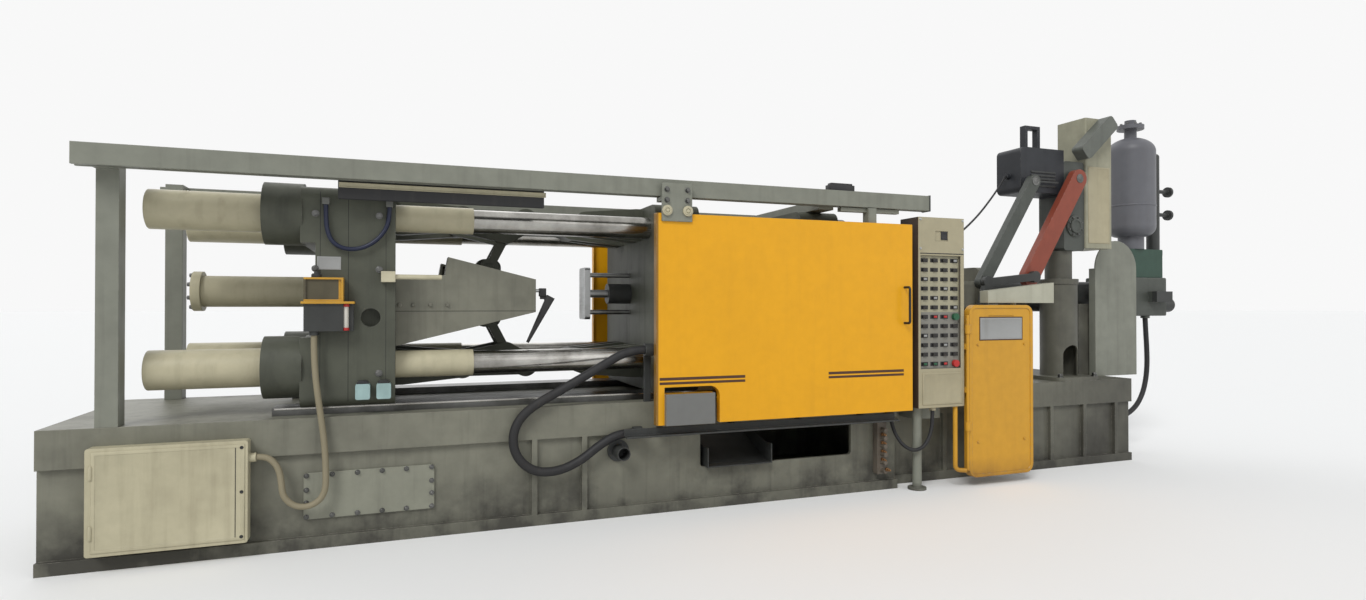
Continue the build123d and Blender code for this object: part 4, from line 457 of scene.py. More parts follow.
# pieces that share a node get their own colours by place
patchedSet = dict(
    panelPaint=dict(base="panelCream", patches=[
        ((0.70, -0.80, 0.4), (0.7475, -0.5, 1.9), (0.050, 0.034, 0.024)),
        ((0.762, -0.7585, 0.795), (1.118, -0.72, 1.545), (0.125, 0.110, 0.082))]),
    keyPaint=dict(base="panelCream", patches=[
        ((0.7, -0.752, 0.78), (1.12, -0.7, 1.17), (0.205, 0.198, 0.172)),
        ((0.7, -0.752, 1.17), (1.12, -0.7, 1.56), (0.330, 0.308, 0.215)),
        ((0.7, -0.80, 0.78), (1.12, -0.7425, 1.56), (0.022, 0.020, 0.019))]),
    fittingPaint=dict(base="darkPaint", patches=[
        ((0.5, -0.70, 0.08), (0.60, -0.55, 0.46), (0.120, 0.102, 0.080))]),
    oilerPaint=dict(base="darkPaint", patches=[
        ((-2.87, -0.64, 1.2205), (-2.60, -0.5, 1.36), (0.500, 0.270, 0.032)),
        ((-2.8468, -0.6285, 1.2432), (-2.6872, -0.5, 1.3428), (0.085, 0.074, 0.046)),
        ((-2.50, -0.64, 1.32), (-2.18, -0.5, 1.40), (0.480, 0.445, 0.315)),
        ((-2.62, -0.64, 0.72), (-2.43, -0.5, 0.82), (0.290, 0.410, 0.400)),
        ((-2.78, -0.60, 1.70), (-2.42, -0.5, 1.78), (0.130, 0.132, 0.120))]),
    headPaint=dict(base="headGrey", patches=[
        ((2.599, -0.4255, 1.65), (2.89, -0.15, 2.69), (0.285, 0.276, 0.200)),
        ((1.92, -0.50, 2.06), (2.391, -0.16, 2.61), (0.022, 0.024, 0.028)),
        ((2.44, -0.53, 2.33), (2.83, -0.4256, 2.69), (0.112, 0.120, 0.104))]),
    frontDoorPaint=dict(base="doorYellow", patches=[
        ((-1.0, -0.78, 0.53), (-0.69, -0.7455, 0.72), (0.150, 0.152, 0.145)),
        ((0.63, -0.82, 1.08), (0.67, -0.7455, 1.35), (0.018, 0.018, 0.018)),
        ((-1.05, -0.76, 0.5), (-1.032, -0.69, 1.75), (0.260, 0.130, 0.020))]),
    tailPaint=dict(base="castGrey", patches=[
        ((-2.779, -0.6, 0.70), (-2.776, -0.53, 1.83), (0.016, 0.016, 0.015)),
        ((-2.648, -0.6, 0.70), (-2.645, -0.53, 1.83), (0.016, 0.016, 0.015)),
        ((-2.468, -0.6, 0.70), (-2.4655, -0.53, 1.83), (0.020, 0.020, 0.018))]),
    hornPaint=dict(base="bedGrey", patches=[
        ((-2.43, -0.45, 1.180), (-1.65, -0.25, 1.1835), (0.030, 0.028, 0.024))]),
    rearPaint=dict(base="darkPaint", patches=[
        ((3.27, -0.20, 1.10), (3.841, 0.18, 1.46), (0.066, 0.072, 0.062))]))
nodeFinish = dict(
    bedGrey=("base_frame", "injection_frame", "ladler_column"),
    coverGrey=("base_cover_plate",),
    hornPaint=("crosshead_guides",),
    tailPaint=("tail_platen",),
    castGrey=("fixed_platen", "moving_platen", "crosshead", "upper_rear_link", "lower_rear_link",
              "upper_front_link", "lower_front_link", "upper_cross_link", "lower_cross_link"),
    railGrey=("door_rails", "rail_brackets", "door_hangers", "panel_stand", "guard_screen"),
    headGrey=("link_arm",),
    trayPale=("pour_tray",),
    cream=("end_box", "closing_cylinder", "tie_bar_covers"),
    guardYellow=("guard_panel", "guard_post"),
    doorYellow=("rear_door",),
    armRed=("main_arm",),
    bottleGrey=("nitrogen_bottle",),
    valveGreen=("accumulator_block",),
    darkPaint=("bottom_door_rail", "scrap_chute", "shot_cylinder", "slim_accumulator",
               "ejector_cylinder", "ladler_coupler"),
    tieBarSteel=("tie_bars", "closing_rod", "plunger"),
    machinedSteel=("shot_sleeve", "ejector_plate"),
    oiledSteel=("bed_slideways", "tie_bar_nuts", "ladle"),
    buttonRed=("e_stop_button",),
    buttonGreen=("start_button",),
    panelPaint=("panel_case",),
    keyPaint=("key_board",),
    fittingPaint=("water_fittings",),
    oilerPaint=("tail_fittings",),
    headPaint=("ladler_head",),
    frontDoorPaint=("front_door",),
    rearPaint=("rear_block",))


def dressNodes():
    for name, spec in patchedSet.items():
        finish[name] = paintMaterial(name, paintSet[spec["base"]], spec["patches"])
    for name, members in nodeFinish.items():
        for member in members:
            mesh = nodes[member].data
            mesh.materials.clear()
            mesh.materials.append(finish[name])


dressNodes()
print("nodes dressed")


# hoses and cables, routes in metres; the tail cable is turned into a mesh and left where it stands
cordSet = dict(
    bedHose=dict(node="bed_hose", body="frame", finish="hoseRubber", slot="rubber",
                 dia=0.050, length=1.756, stiff="stiff", lay="hanging",
        route=[(-1.080, -0.640, 0.958), (-1.180, -0.640, 0.958), (-1.345, -0.640, 0.865),
               (-1.560, -0.642, 0.748), (-1.753, -0.645, 0.648), (-1.830, -0.645, 0.538),
               (-1.819, -0.645, 0.404), (-1.723, -0.645, 0.308), (-1.589, -0.645, 0.297),
               (-1.460, -0.645, 0.345), (-1.345, -0.642, 0.430), (-1.235, -0.640, 0.486),
               (-1.150, -0.640, 0.486)]),
    tailHose=dict(node="tail_hose", body="tail", finish="hoseBlue", slot="blue_hose",
                  dia=0.022, length=0.613, stiff="medium", lay="hanging",
        route=[(-2.750, -0.565, 1.724), (-2.750, -0.565, 1.668), (-2.746, -0.566, 1.600),
               (-2.724, -0.568, 1.536), (-2.668, -0.568, 1.500), (-2.590, -0.568, 1.502),
               (-2.520, -0.567, 1.540), (-2.470, -0.566, 1.600), (-2.450, -0.565, 1.668),
               (-2.450, -0.565, 1.724)]),
    panelCable=dict(node="panel_cable", body="frame", finish="hoseRubber", slot="rubber",
                    dia=0.024, length=0.578, stiff="medium", lay="hanging",
        route=[(0.880, -0.728, 0.525), (0.879, -0.729, 0.445), (0.860, -0.730, 0.360),
               (0.815, -0.728, 0.290), (0.750, -0.712, 0.262), (0.690, -0.685, 0.290),
               (0.650, -0.660, 0.350), (0.630, -0.645, 0.410), (0.620, -0.640, 0.460)]),
    rearHose=dict(node="rear_hose", body="frame", finish="hoseRubber", slot="rubber",
                  dia=0.040, length=1.291, stiff="stiff", lay="hanging",
        route=[(3.640, -0.120, 1.105), (3.645, -0.122, 0.985), (3.652, -0.125, 0.850),
               (3.652, -0.128, 0.715), (3.635, -0.130, 0.585), (3.590, -0.135, 0.465),
               (3.515, -0.140, 0.365), (3.410, -0.145, 0.300), (3.285, -0.148, 0.262),
               (3.148, -0.150, 0.250), (3.020, -0.150, 0.250)]),
    ladlerCable=dict(node="ladler_cable", body="frame", finish="hoseRubber", slot="rubber",
                     dia=0.014, length=1.015, stiff="medium", lay="taut",
        route=[(1.140, -0.665, 1.690), (1.258, -0.609, 1.746), (1.377, -0.552, 1.809),
               (1.496, -0.496, 1.879), (1.614, -0.440, 1.958), (1.732, -0.384, 2.042),
               (1.851, -0.328, 2.135), (1.930, -0.290, 2.200)]))
tailCable = dict(node="tail_cable", finish="cableBeige", slot="beige_cable", dia=0.030, length=1.273,
                 stiff="medium", lay="hanging", start=(-2.80, -0.592, 1.0), end=(-2.745, -0.642, 0.52),
        route=[(-2.800, -0.592, 1.0627), (-2.800, -0.592, 0.975), (-2.790, -0.610, 0.840),
               (-2.768, -0.634, 0.690), (-2.748, -0.642, 0.545), (-2.740, -0.642, 0.410),
               (-2.740, -0.642, 0.281), (-2.796, -0.642, 0.225), (-2.874, -0.642, 0.225),
               (-2.930, -0.642, 0.281), (-2.936, -0.640, 0.355), (-2.948, -0.638, 0.420),
               (-2.980, -0.636, 0.466), (-3.016, -0.635, 0.482), (-3.044, -0.635, 0.482)])


curveSet = dict(round=5, along=10, order=3)


def routeCurve(name, route, radius):
    curve = bpy.data.curves.new(name, "CURVE")
    curve.dimensions = "3D"
    curve.bevel_depth = radius
    curve.bevel_resolution = curveSet["round"]
    curve.resolution_u = curveSet["along"]
    curve.use_fill_caps = True
    line = curve.splines.new("NURBS")
    line.points.add(len(route) - 1)
    for point, place in zip(line.points, route):
        point.co = (*place, 1)
    line.order_u = curveSet["order"]
    line.use_endpoint_u = True
    piece = bpy.data.objects.new(name, curve)
    scene.collection.objects.link(piece)
    return piece


def routePoints(name, route):
    plain = routeCurve(name, route, 0.0)
    bpy.context.view_layer.update()
    graph = bpy.context.evaluated_depsgraph_get()
    mesh = bpy.data.meshes.new_from_object(plain.evaluated_get(graph))
    points = [tuple(v.co) for v in mesh.vertices]
    bpy.data.objects.remove(plain)
    return points


def makeCords():
    for name, spec in cordSet.items():
        piece = routeCurve(name, spec["route"], spec["dia"] / 2)
        piece.data.materials.append(finish[spec["finish"]])
        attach(piece, spec["body"])
        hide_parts(spec["node"])
    spec = tailCable
    path = routePoints("tailCablePath", spec["route"])
    piece = routeCurve("tailCable", spec["route"], spec["dia"] / 2)
    bpy.ops.object.select_all(action="DESELECT")
    piece.select_set(True)
    bpy.context.view_layer.objects.active = piece
    bpy.ops.object.convert(target="MESH")
    piece = bpy.context.object
    piece.data.materials.append(finish[spec["finish"]])
    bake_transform(piece)
    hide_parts(spec["node"])


makeCords()
print("cords laid")


# modelling helpers: a primitive is placed, its outward face stepped, its edges softened, and it joins a body
front = (0, -1, 0)
back = (0, 1, 0)
up = (0, 0, 1)
down = (0, 0, -1)
east = (1, 0, 0)
west = (-1, 0, 0)
probeY = 0.9
sink = 0.0005
thinSink = 0.0003
seatSet = dict(lift=0.5, reach=1.2)
faceSet = dict(level=0.00005, square=0.95)
softSet = dict(angle=35.0, smooth=40.0)
plateShape = dict(probe=0.01, slope=0.3, press=0.4, corner=0.45)
boltShape = dict(sides=6, lift=0.22, crown=(0.08, 0.06), washer=0.68, washerSides=20, washerRise=0.3,
                 washerDrop=0.08, lip=(0.05, 0.03), soft=0.035)


def onFront(x, z):
    return (x, -probeY, z)


def onBack(x, z):
    return (x, probeY, z)


def seatOn(node, place, facing):
    way = Vector(facing)
    carrier = nodes[node] if node in nodes else bpy.data.objects[node]
    bpy.context.view_layer.update()
    start = Vector(place) + seatSet["lift"] * way
    hit, spot, normal, index = carrier.ray_cast(start, -way, distance=seatSet["reach"])
    if not hit:
        raise RuntimeError("nothing under " + node + str(place))
    return spot


def pick(piece):
    bpy.ops.object.select_all(action="DESELECT")
    piece.select_set(True)
    bpy.context.view_layer.objects.active = piece


def startBox(name, low, high):
    bpy.ops.object.select_all(action="DESELECT")
    middle = [(a + b) / 2 for a, b in zip(low, high)]
    bpy.ops.mesh.primitive_cube_add(size=1, location=middle)
    piece = bpy.context.object
    piece.name = name
    piece.scale = [b - a for a, b in zip(low, high)]
    bpy.ops.object.transform_apply(location=True, rotation=True, scale=True)
    return piece


def startDisc(name, place, facing, radius, depth, sides):
    bpy.ops.object.select_all(action="DESELECT")
    turn = Vector(facing).to_track_quat("Z", "Y").to_euler()
    middle = Vector(place) + Vector(facing) * depth / 2
    bpy.ops.mesh.primitive_cylinder_add(vertices=sides, radius=radius, depth=depth, location=middle, rotation=turn)
    piece = bpy.context.object
    piece.name = name
    bpy.ops.object.transform_apply(location=True, rotation=True, scale=True)
    return piece


def selectFaces(piece, facing):
    pick(piece)
    bpy.ops.object.mode_set(mode="EDIT")
    bpy.ops.mesh.select_mode(type="FACE")
    bpy.ops.mesh.select_all(action="DESELECT")
    bpy.ops.object.mode_set(mode="OBJECT")
    way = Vector(facing)
    far = max(face.center.dot(way) for face in piece.data.polygons)
    for face in piece.data.polygons:
        level = face.center.dot(way) > far - faceSet["level"]
        face.select = level and face.normal.dot(way) > faceSet["square"]
    bpy.ops.object.mode_set(mode="EDIT")


# steps are (inset, push) pairs on the face that looks outwards
def stepFace(piece, facing, steps):
    selectFaces(piece, facing)
    for inset, push in steps:
        bpy.ops.mesh.inset(thickness=inset, depth=0)
        if push:
            bpy.ops.mesh.extrude_region_move(TRANSFORM_OT_translate=dict(value=Vector(facing) * push))
    bpy.ops.object.mode_set(mode="OBJECT")


def soften(piece, width, segments=2):
    pick(piece)
    bevel = piece.modifiers.new("soft", "BEVEL")
    bevel.width = width
    bevel.segments = segments
    bevel.limit_method = "ANGLE"
    bevel.angle_limit = math.radians(softSet["angle"])
    bpy.ops.object.modifier_apply(modifier="soft")
    bpy.ops.object.mode_set(mode="EDIT")
    bpy.ops.mesh.select_all(action="SELECT")
    bpy.ops.mesh.normals_make_consistent(inside=False)
    bpy.ops.object.mode_set(mode="OBJECT")
    bpy.ops.object.shade_smooth_by_angle(angle=math.radians(softSet["smooth"]))


def block(name, low, high, facing, spec):
    piece = startBox(name, low, high)
    stepFace(piece, facing, spec["steps"])
    if "soft" in spec:
        soften(piece, spec["soft"], spec.get("segments", 2))
    return piece


def turned(name, place, facing, spec):
    piece = startDisc(name, place, facing, spec["radius"], spec["depth"], spec["sides"])
    stepFace(piece, facing, spec["steps"])
    soften(piece, spec["soft"], spec.get("segments", 2))
    return piece


def join(name, pieces):
    bpy.ops.object.select_all(action="DESELECT")
    for piece in pieces:
        piece.select_set(True)
    bpy.context.view_layer.objects.active = pieces[0]
    if len(pieces) > 1:
        bpy.ops.object.join()
    pieces[0].name = name
    return pieces[0]


def settle(piece, finishName, body):
    piece.data.materials.clear()
    piece.data.materials.append(finish[finishName])
    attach(piece, body)
    return piece


def turnedRow(name, places, facing, spec, finishName, body):
    pieces = [turned(name + "Part", place, facing, spec) for place in places]
    return settle(join(name, pieces), finishName, body)


# one bolt is modelled at the origin, then copied to each place
def makeBolt(size, rise):
    b = boltShape
    head = startDisc("boltHead", (0, 0, rise * b["lift"]), up, size / 2, rise, b["sides"])
    stepFace(head, up, [(size * b["crown"][0], rise * b["crown"][1])])
    washer = startDisc("boltWasher", (0, 0, -rise * b["washerDrop"]), up, size * b["washer"],
                       rise * b["washerRise"], b["washerSides"])
    stepFace(washer, up, [(size * b["lip"][0], rise * b["lip"][1])])
    bolt = join("boltModel", [head, washer])
    soften(bolt, size * b["soft"], 1)
    return bolt


# places on a circle that faces up, to the front, or along the machine
def ring(centre, radius, count, facing):
    x, y, z = centre
    places = []
    for step in range(count):
        angle = 2 * math.pi * (step + 0.5) / count
        c, s = radius * math.cos(angle), radius * math.sin(angle)
        if facing == up:
            places.append((x + c, y + s, z))
        elif facing == front:
            places.append((x + c, y, z + s))
        else:
            places.append((x, y + c, z + s))
    return places


# a row's places are a ring, or a grid that is searched for from outside where it has no Y
def boltPlaces(spec, facing):
    if "radius" in spec:
        return ring(spec["centre"], spec["radius"], spec["count"], facing)
    ys = spec.get("ys", (probeY * facing[1],))
    return [(x, y, z) for x in spec["xs"] for y in ys for z in spec["zs"]]


def boltRow(name, spec):
    facing = spec["facing"]
    model = makeBolt(*spec["bolt"])
    copies = []
    for place in boltPlaces(spec, facing) + spec.get("more", []):
        mesh = model.data.copy()
        turn = Vector(facing).to_track_quat("Z", "Y").to_matrix().to_4x4()
        turn.translation = seatOn(spec["node"], place, facing)
        mesh.transform(turn)
        twin = bpy.data.objects.new(name, mesh)
        scene.collection.objects.link(twin)
        copies.append(twin)
    bpy.data.objects.remove(model)
    settle(join(name, copies), spec.get("finish", "oiledSteel"), spec.get("body", "frame"))


# plate that lies on a node's face, with a pressed border
def facePlate(name, spec):
    facing = spec.get("facing", front)
    out = facing[1]
    p = plateShape
    (x0, z0), (x1, z1), thick, border = spec["low"], spec["high"], spec["thick"], spec["border"]
    y = seatOn(spec["node"], (x0 + p["probe"], probeY * out, z0 + p["probe"]), facing).y
    y0, y1 = sorted((y - sink * out, y + thick * out))
    shape = dict(steps=[(border, 0), (border * p["slope"], -thick * p["press"])], soft=thick * p["corner"])
    piece = block(name, (x0, y0, z0), (x1, y1, z1), facing, shape)
    return settle(piece, spec["finish"], spec.get("body", "frame"))


print("tools ready")


# plates: panel window, groove and foot cover, bare plates, tower door, covers along the back of the bed
plateSet = dict(
    panelWindow=dict(node="panel_case", low=(0.930, 1.645), high=(1.044, 1.700), thick=0.004, border=0.008,
                     finish="blackPlastic", slot="black"),
    panelGroove=dict(node="panel_case", low=(0.760, 1.5505), high=(1.112, 1.5565), thick=0.0012, border=0.001,
                     finish="darkPaint", slot="dark_grey"),
    panelFootCover=dict(node="panel_case", low=(0.775, 0.565), high=(1.095, 0.775), thick=0.004, border=0.010,
                        finish="panelCream", slot="cream"),
    guardPlateRim=dict(node="guard_panel", low=(1.233, 0.978), high=(1.607, 1.137), thick=0.0018, border=0.003,
                       finish="stripeBrown", body="shot_guard", slot="yellow"),
    guardPlate=dict(node="guard_panel", low=(1.240, 0.985), high=(1.600, 1.130), thick=0.003, border=0.010,
                    finish="plateGrey", body="shot_guard", slot="yellow"),
    tailPlate=dict(node="tail_platen", low=(-2.792, 1.395), high=(-2.681, 1.462), thick=0.002, border=0.005,
                   finish="plateGrey", body="tail", slot="cast"),
    towerDoor=dict(node="ladler_head", low=(2.625, 1.70), high=(2.855, 2.30), thick=0.002, border=0.010,
                   finish="panelCream", slot="cream"))
coverSet = dict(spans=((-3.45, -2.75), (-2.30, -1.60), (1.10, 1.80), (2.05, 2.75)), low=0.150, high=0.390,
                thick=0.008, border=0.030, inset=0.014, gaps=4, bolt=(0.019, 0.010))


def layPlates():
    for name, spec in plateSet.items():
        facePlate(name, spec)
    c = coverSet
    low, high, inset = c["low"], c["high"], c["inset"]
    for index, (x0, x1) in enumerate(c["spans"]):
        name = "rearCover" + str(index)
        facePlate(name, dict(node="base_frame", low=(x0, low), high=(x1, high), thick=c["thick"],
                             border=c["border"], finish="coverGrey", slot="machine_grey", facing=back))
        step = (x1 - x0 - 2 * inset) / c["gaps"]
        xs = [x0 + inset + step * k for k in range(c["gaps"] + 1)]
        boltRow(name + "Bolts", dict(node=name, facing=back, xs=xs, zs=(low + inset, high - inset), bolt=c["bolt"],
                                     slot="machine_grey"))


layPlates()
print("plates laid")


# bed: end box with seam, locks and hinges, oil level, drain plugs, brass nipples of the water manifold
lidSet = dict(node="end_box", low=(-3.69, 0.100), high=(-3.087, 0.554), thick=0.003, border=0.012, finish="cream",
              slot="cream")
seamSet = dict(xs=(-3.1275, -3.1245), margin=0.015, depth=0.003, steps=[(0.0008, -0.0003)])
lockSet = dict(x=-3.100, zs=(0.116, 0.328, 0.538), inset=0.003, radius=0.008, depth=0.005, sides=20,
               steps=[(0.002, 0.001), (0.002, -0.001)], soft=0.0006)
hingeSet = dict(x=-3.692, zs=(0.16, 0.43), inset=0.002, radius=0.008, depth=0.06, sides=20,
                steps=[(0.002, 0.004)], soft=0.001)
oilLevelSet = dict(place=(-1.20, 0.30), half=(0.020, 0.080), proud=0.014, steps=[(0.007, -0.006)], soft=0.002)
plugSet = dict(xs=(-3.70, 0.55), z=0.090, radius=0.026, depth=0.014, sides=28,
               steps=[(0.008, 0.010), (0.006, -0.006)], soft=0.0012)
nippleSet = dict(x=0.56, zs=(0.150, 0.205, 0.260, 0.315, 0.370), radius=0.013, depth=0.018, sides=6,
                 steps=[(0.003, 0.012), (-0.002, 0.004), (0.003, 0.012)], soft=0.0009, segments=1)


def dressBed():
    lid = facePlate("endBoxLid", lidSet)
    lidY = min(v.co.y for v in lid.data.vertices)
    s = seamSet
    low = (s["xs"][0], lidY, lidSet["low"][1] + s["margin"])
    high = (s["xs"][1], lidY + s["depth"], lidSet["high"][1] - s["margin"])
    settle(block("endBoxSeam", low, high, front, s), "darkPaint", "frame")
    places = [(lockSet["x"], lidY + lockSet["inset"], z) for z in lockSet["zs"]]
    turnedRow("endBoxLocks", places, front, lockSet, "blackPlastic", "frame")
    places = [(hingeSet["x"], lidY + hingeSet["inset"], z) for z in hingeSet["zs"]]
    turnedRow("endBoxHinges", places, up, hingeSet, "cream", "frame")
    g = oilLevelSet
    (x, z), (w, h) = g["place"], g["half"]
    y = seatOn("base_frame", onBack(x, z), back).y
    glass = block("oilLevel", (x - w, y - sink, z - h), (x + w, y + g["proud"], z + h), back, g)
    settle(glass, "plateGrey", "frame")
    z = plugSet["z"]
    places = [(x, seatOn("base_frame", onBack(x, z), back).y - sink, z) for x in plugSet["xs"]]
    turnedRow("drainPlugs", places, back, plugSet, "oiledSteel", "frame")
    places = [seatOn("water_fittings", onFront(nippleSet["x"], z), front) for z in nippleSet["zs"]]
    turnedRow("waterNipples", places, front, nippleSet, "agedBrass", "frame")


dressBed()
print("bed dressed")


# rail and doors: end cap, stop on top, black tray that stands in for the shade under the rail (painted shade) and
# cream strip behind, rollers, brown lines, rear cup pull
railSet = dict(
    railCap=dict(low=(0.868, -0.721, 1.834), high=(0.877, -0.639, 1.940), facing=east, steps=[(0.008, -0.003)],
                 soft=0.002, finish="darkPaint", slot="dark_grey"),
    railStop=dict(low=(0.117, -0.712, 1.9355), high=(0.294, -0.650, 1.972), facing=up,
                  steps=[(0.010, 0.012), (0.012, -0.006)], soft=0.003, finish="blackPlastic", slot="black"),
    # black tray put under the rail where shade falls: a dark sheet that paints the shade under the rail
    railShadeTray=dict(low=(-2.690, -0.642, 1.748), high=(-1.660, -0.612, 1.862), facing=down,
                  steps=[(0.003, -0.050)], soft=0.001, finish="blackPlastic", slot="black"),
    railStrip=dict(low=(-2.686, -0.648, 1.804), high=(-1.651, -0.6415, 1.830), facing=front,
                   steps=[(0.004, -0.002)], soft=0.001, finish="cream", slot="cream"))
rollerSet = dict(xs=(-0.985, -0.860), z=1.752, radius=0.030, depth=0.012, sides=36,
                 steps=[(0.008, 0.003), (0.008, -0.004), (0.004, 0.006)], soft=0.001)
stripeSet = dict(spans=((-1.025, -0.490), (0.080, 0.640)), lines=((0.787, 0.803), (0.763, 0.777)), thick=0.0012,
                 steps=[(0.001, 0.0002)])
rearPullSet = dict(low=(0.550, 1.08), high=(0.610, 1.34), thick=0.008, steps=[(0.009, 0), (0.003, -0.007)],
                   soft=0.0015)


def dressRailAndDoors():
    for name, r in railSet.items():
        settle(block(name, r["low"], r["high"], r["facing"], r), r["finish"], "frame")
    places = [seatOn("door_hangers", onFront(x, rollerSet["z"]), front) for x in rollerSet["xs"]]
    turnedRow("hangerRollers", places, front, rollerSet, "cream", "front_door")
    s = stripeSet
    bars = []
    for x0, x1 in s["spans"]:
        for z0, z1 in s["lines"]:
            y = seatOn("front_door", onFront((x0 + x1) / 2, (z0 + z1) / 2), front).y
            bars.append(block("stripe", (x0, y - s["thick"], z0), (x1, y + thinSink, z1), front, s))
    settle(join("doorLines", bars), "stripeBrown", "front_door")
    r = rearPullSet
    (x0, z0), (x1, z1) = r["low"], r["high"]
    y = seatOn("rear_door", onBack(x0, z0), back).y
    pull = block("rearPull", (x0, y - thinSink, z0), (x1, y + r["thick"], z1), back, r)
    settle(pull, "blackPlastic", "rear_door")


dressRailAndDoors()
print("rail and doors dressed")


# control panel: key frames and coloured caps
keySet = dict(left=0.763, right=1.086, low=0.800, high=1.540, rows=12, columns=4, loose=((11, 3), (6, 3)))
tagSet = dict(size=(0.062, 0.026), thick=0.001, steps=[(0.0015, 0.0003)])
capSet = dict(size=(0.024, 0.014), thick=0.003, steps=[(0.003, 0.001)], soft=0.001)
capKeys = dict(
    redCaps=dict(keys=((6, 1), (6, 2), (11, 2)), finish="buttonRed", slot="red"),
    greenCaps=dict(keys=((11, 0), (11, 1)), finish="buttonGreen", slot="black"),
    paleCaps=dict(keys=((0, 3), (2, 0), (3, 2), (4, 1), (5, 3), (8, 0), (9, 2)), finish="plateGrey", slot="cream"))


def keyPlace(row, column):
    k = keySet
    x = k["left"] + (k["right"] - k["left"]) * (column + 0.5) / k["columns"]
    return x, k["high"] - (k["high"] - k["low"]) * (row + 0.5) / k["rows"]


# a frame is seated at its corner, a cap at its middle
def onKey(name, key, spec, corner):
    x, z = keyPlace(*key)
    w, h = (side / 2 for side in spec["size"])
    y = seatOn("key_board", onFront(x + w * corner, z + h * corner), front).y
    return block(name, (x - w, y - spec["thick"], z - h), (x + w, y + thinSink, z + h), front, spec)


def dressPanel():
    keys = [(row, column) for row in range(keySet["rows"]) for column in range(keySet["columns"])]
    tags = [onKey("tag", key, tagSet, 1) for key in keys if key not in keySet["loose"]]
    settle(join("keyTags", tags), "blackPlastic", "frame")
    for name, spec in capKeys.items():
        caps = [onKey("cap", key, capSet, 0) for key in spec["keys"]]
        settle(join(name, caps), spec["finish"], "frame")


dressPanel()
print("panel dressed")


# closing unit: oiler cap, sight tube, switch tops, rod, switch and trip lever at the horn's tip, way edges
oilerCapSet = dict(place=(-2.79, -0.586, 1.353), radius=0.024, depth=0.016, sides=28,
                   steps=[(0.004, 0.004), (0.008, 0.010)], soft=0.0012)
tubeSet = dict(x=-2.655, faceZ=1.165, out=0.0098, low=1.092, radius=0.014, depth=0.120, sides=28,
               steps=[(0.003, 0.002)], soft=0.001)
tubeEndSet = dict(zs=(1.086, 1.206), radius=0.017, depth=0.014, sides=28, steps=[(0.003, 0.001)], soft=0.001)
switchSet = dict(spans=((-2.603, -2.547), (-2.503, -2.447)), ys=(-0.594, -0.550), zs=(0.811, 0.822),
                 steps=[(0.006, 0.006)], soft=0.002)
hornRodSet = dict(place=(-1.664, -0.344, 1.300), radius=0.010, depth=0.030, sides=20, steps=[(0.002, 0.006)],
                  soft=0.001)
hornSwitchSet = dict(low=(-1.634, -0.359, 1.266), high=(-1.594, -0.329, 1.314), steps=[(0.006, 0.016)], soft=0.002)
hornArmSet = dict(low=(-1.604, -0.352, 1.244), high=(-1.564, -0.336, 1.264), steps=[(0.003, 0.004)], soft=0.0015)
leverSet = dict(low=(-0.02, -0.011, -0.025), high=(0.280, 0.011, 0.025), tip=(1, 0.6, 0.32),
                steps=[(0.006, 0.003)], soft=0.002, root=(-1.574, -0.344, 1.247), turn=117.0)
waySet = dict(xs=(-2.99, -0.21), face=0.480, proud=0.0025, zs=(0.682, 0.6922), steps=[(0.002, 0.0005)])


def makeLever():
    v = leverSet
    arm = block("hornArm", hornArmSet["low"], hornArmSet["high"], up, hornArmSet)
    lever = startBox("hornLever", v["low"], v["high"])
    selectFaces(lever, east)
    bpy.ops.transform.resize(value=v["tip"])
    bpy.ops.object.mode_set(mode="OBJECT")
    stepFace(lever, front, v["steps"])
    soften(lever, v["soft"])
    lever.rotation_euler = (0, math.radians(v["turn"]), 0)
    lever.location = v["root"]
    bpy.ops.object.transform_apply(location=True, rotation=True, scale=True)
    settle(join("hornLever", [lever, arm]), "blackPlastic", "tail")


def dressClosingUnit():
    spot = seatOn("tail_fittings", oilerCapSet["place"], up)
    settle(turned("oilerCap", spot, up, oilerCapSet), "blackPlastic", "tail")
    t = tubeSet
    y = seatOn("tail_fittings", onFront(t["x"], t["faceZ"]), front).y - t["out"]
    settle(turned("sightTube", (t["x"], y, t["low"]), up, t), "sightWhite", "tail")
    places = [(t["x"], y, z) for z in tubeEndSet["zs"]]
    turnedRow("sightTubeEnds", places, up, tubeEndSet, "buttonRed", "tail")
    s = switchSet
    (y0, y1), (z0, z1) = s["ys"], s["zs"]
    tops = [block("switchTop", (x0, y0, z0), (x1, y1, z1), up, s) for x0, x1 in s["spans"]]
    settle(join("switchTops", tops), "blackPlastic", "tail")
    settle(turned("hornRod", hornRodSet["place"], east, hornRodSet), "machinedSteel", "tail")
    h = hornSwitchSet
    settle(block("hornSwitch", h["low"], h["high"], down, h), "blackPlastic", "tail")
    makeLever()
    w = waySet
    (x0, x1), (z0, z1) = w["xs"], w["zs"]
    edges = []
    for side in (-1, 1):
        y0, y1 = sorted((side * (w["face"] - sink), side * (w["face"] + w["proud"])))
        edges.append(block("wayEdge", (x0, y0, z0), (x1, y1, z1), (0, side, 0), w))
    settle(join("wayEdges", edges), "tieBarSteel", "frame")


dressClosingUnit()
print("closing unit dressed")


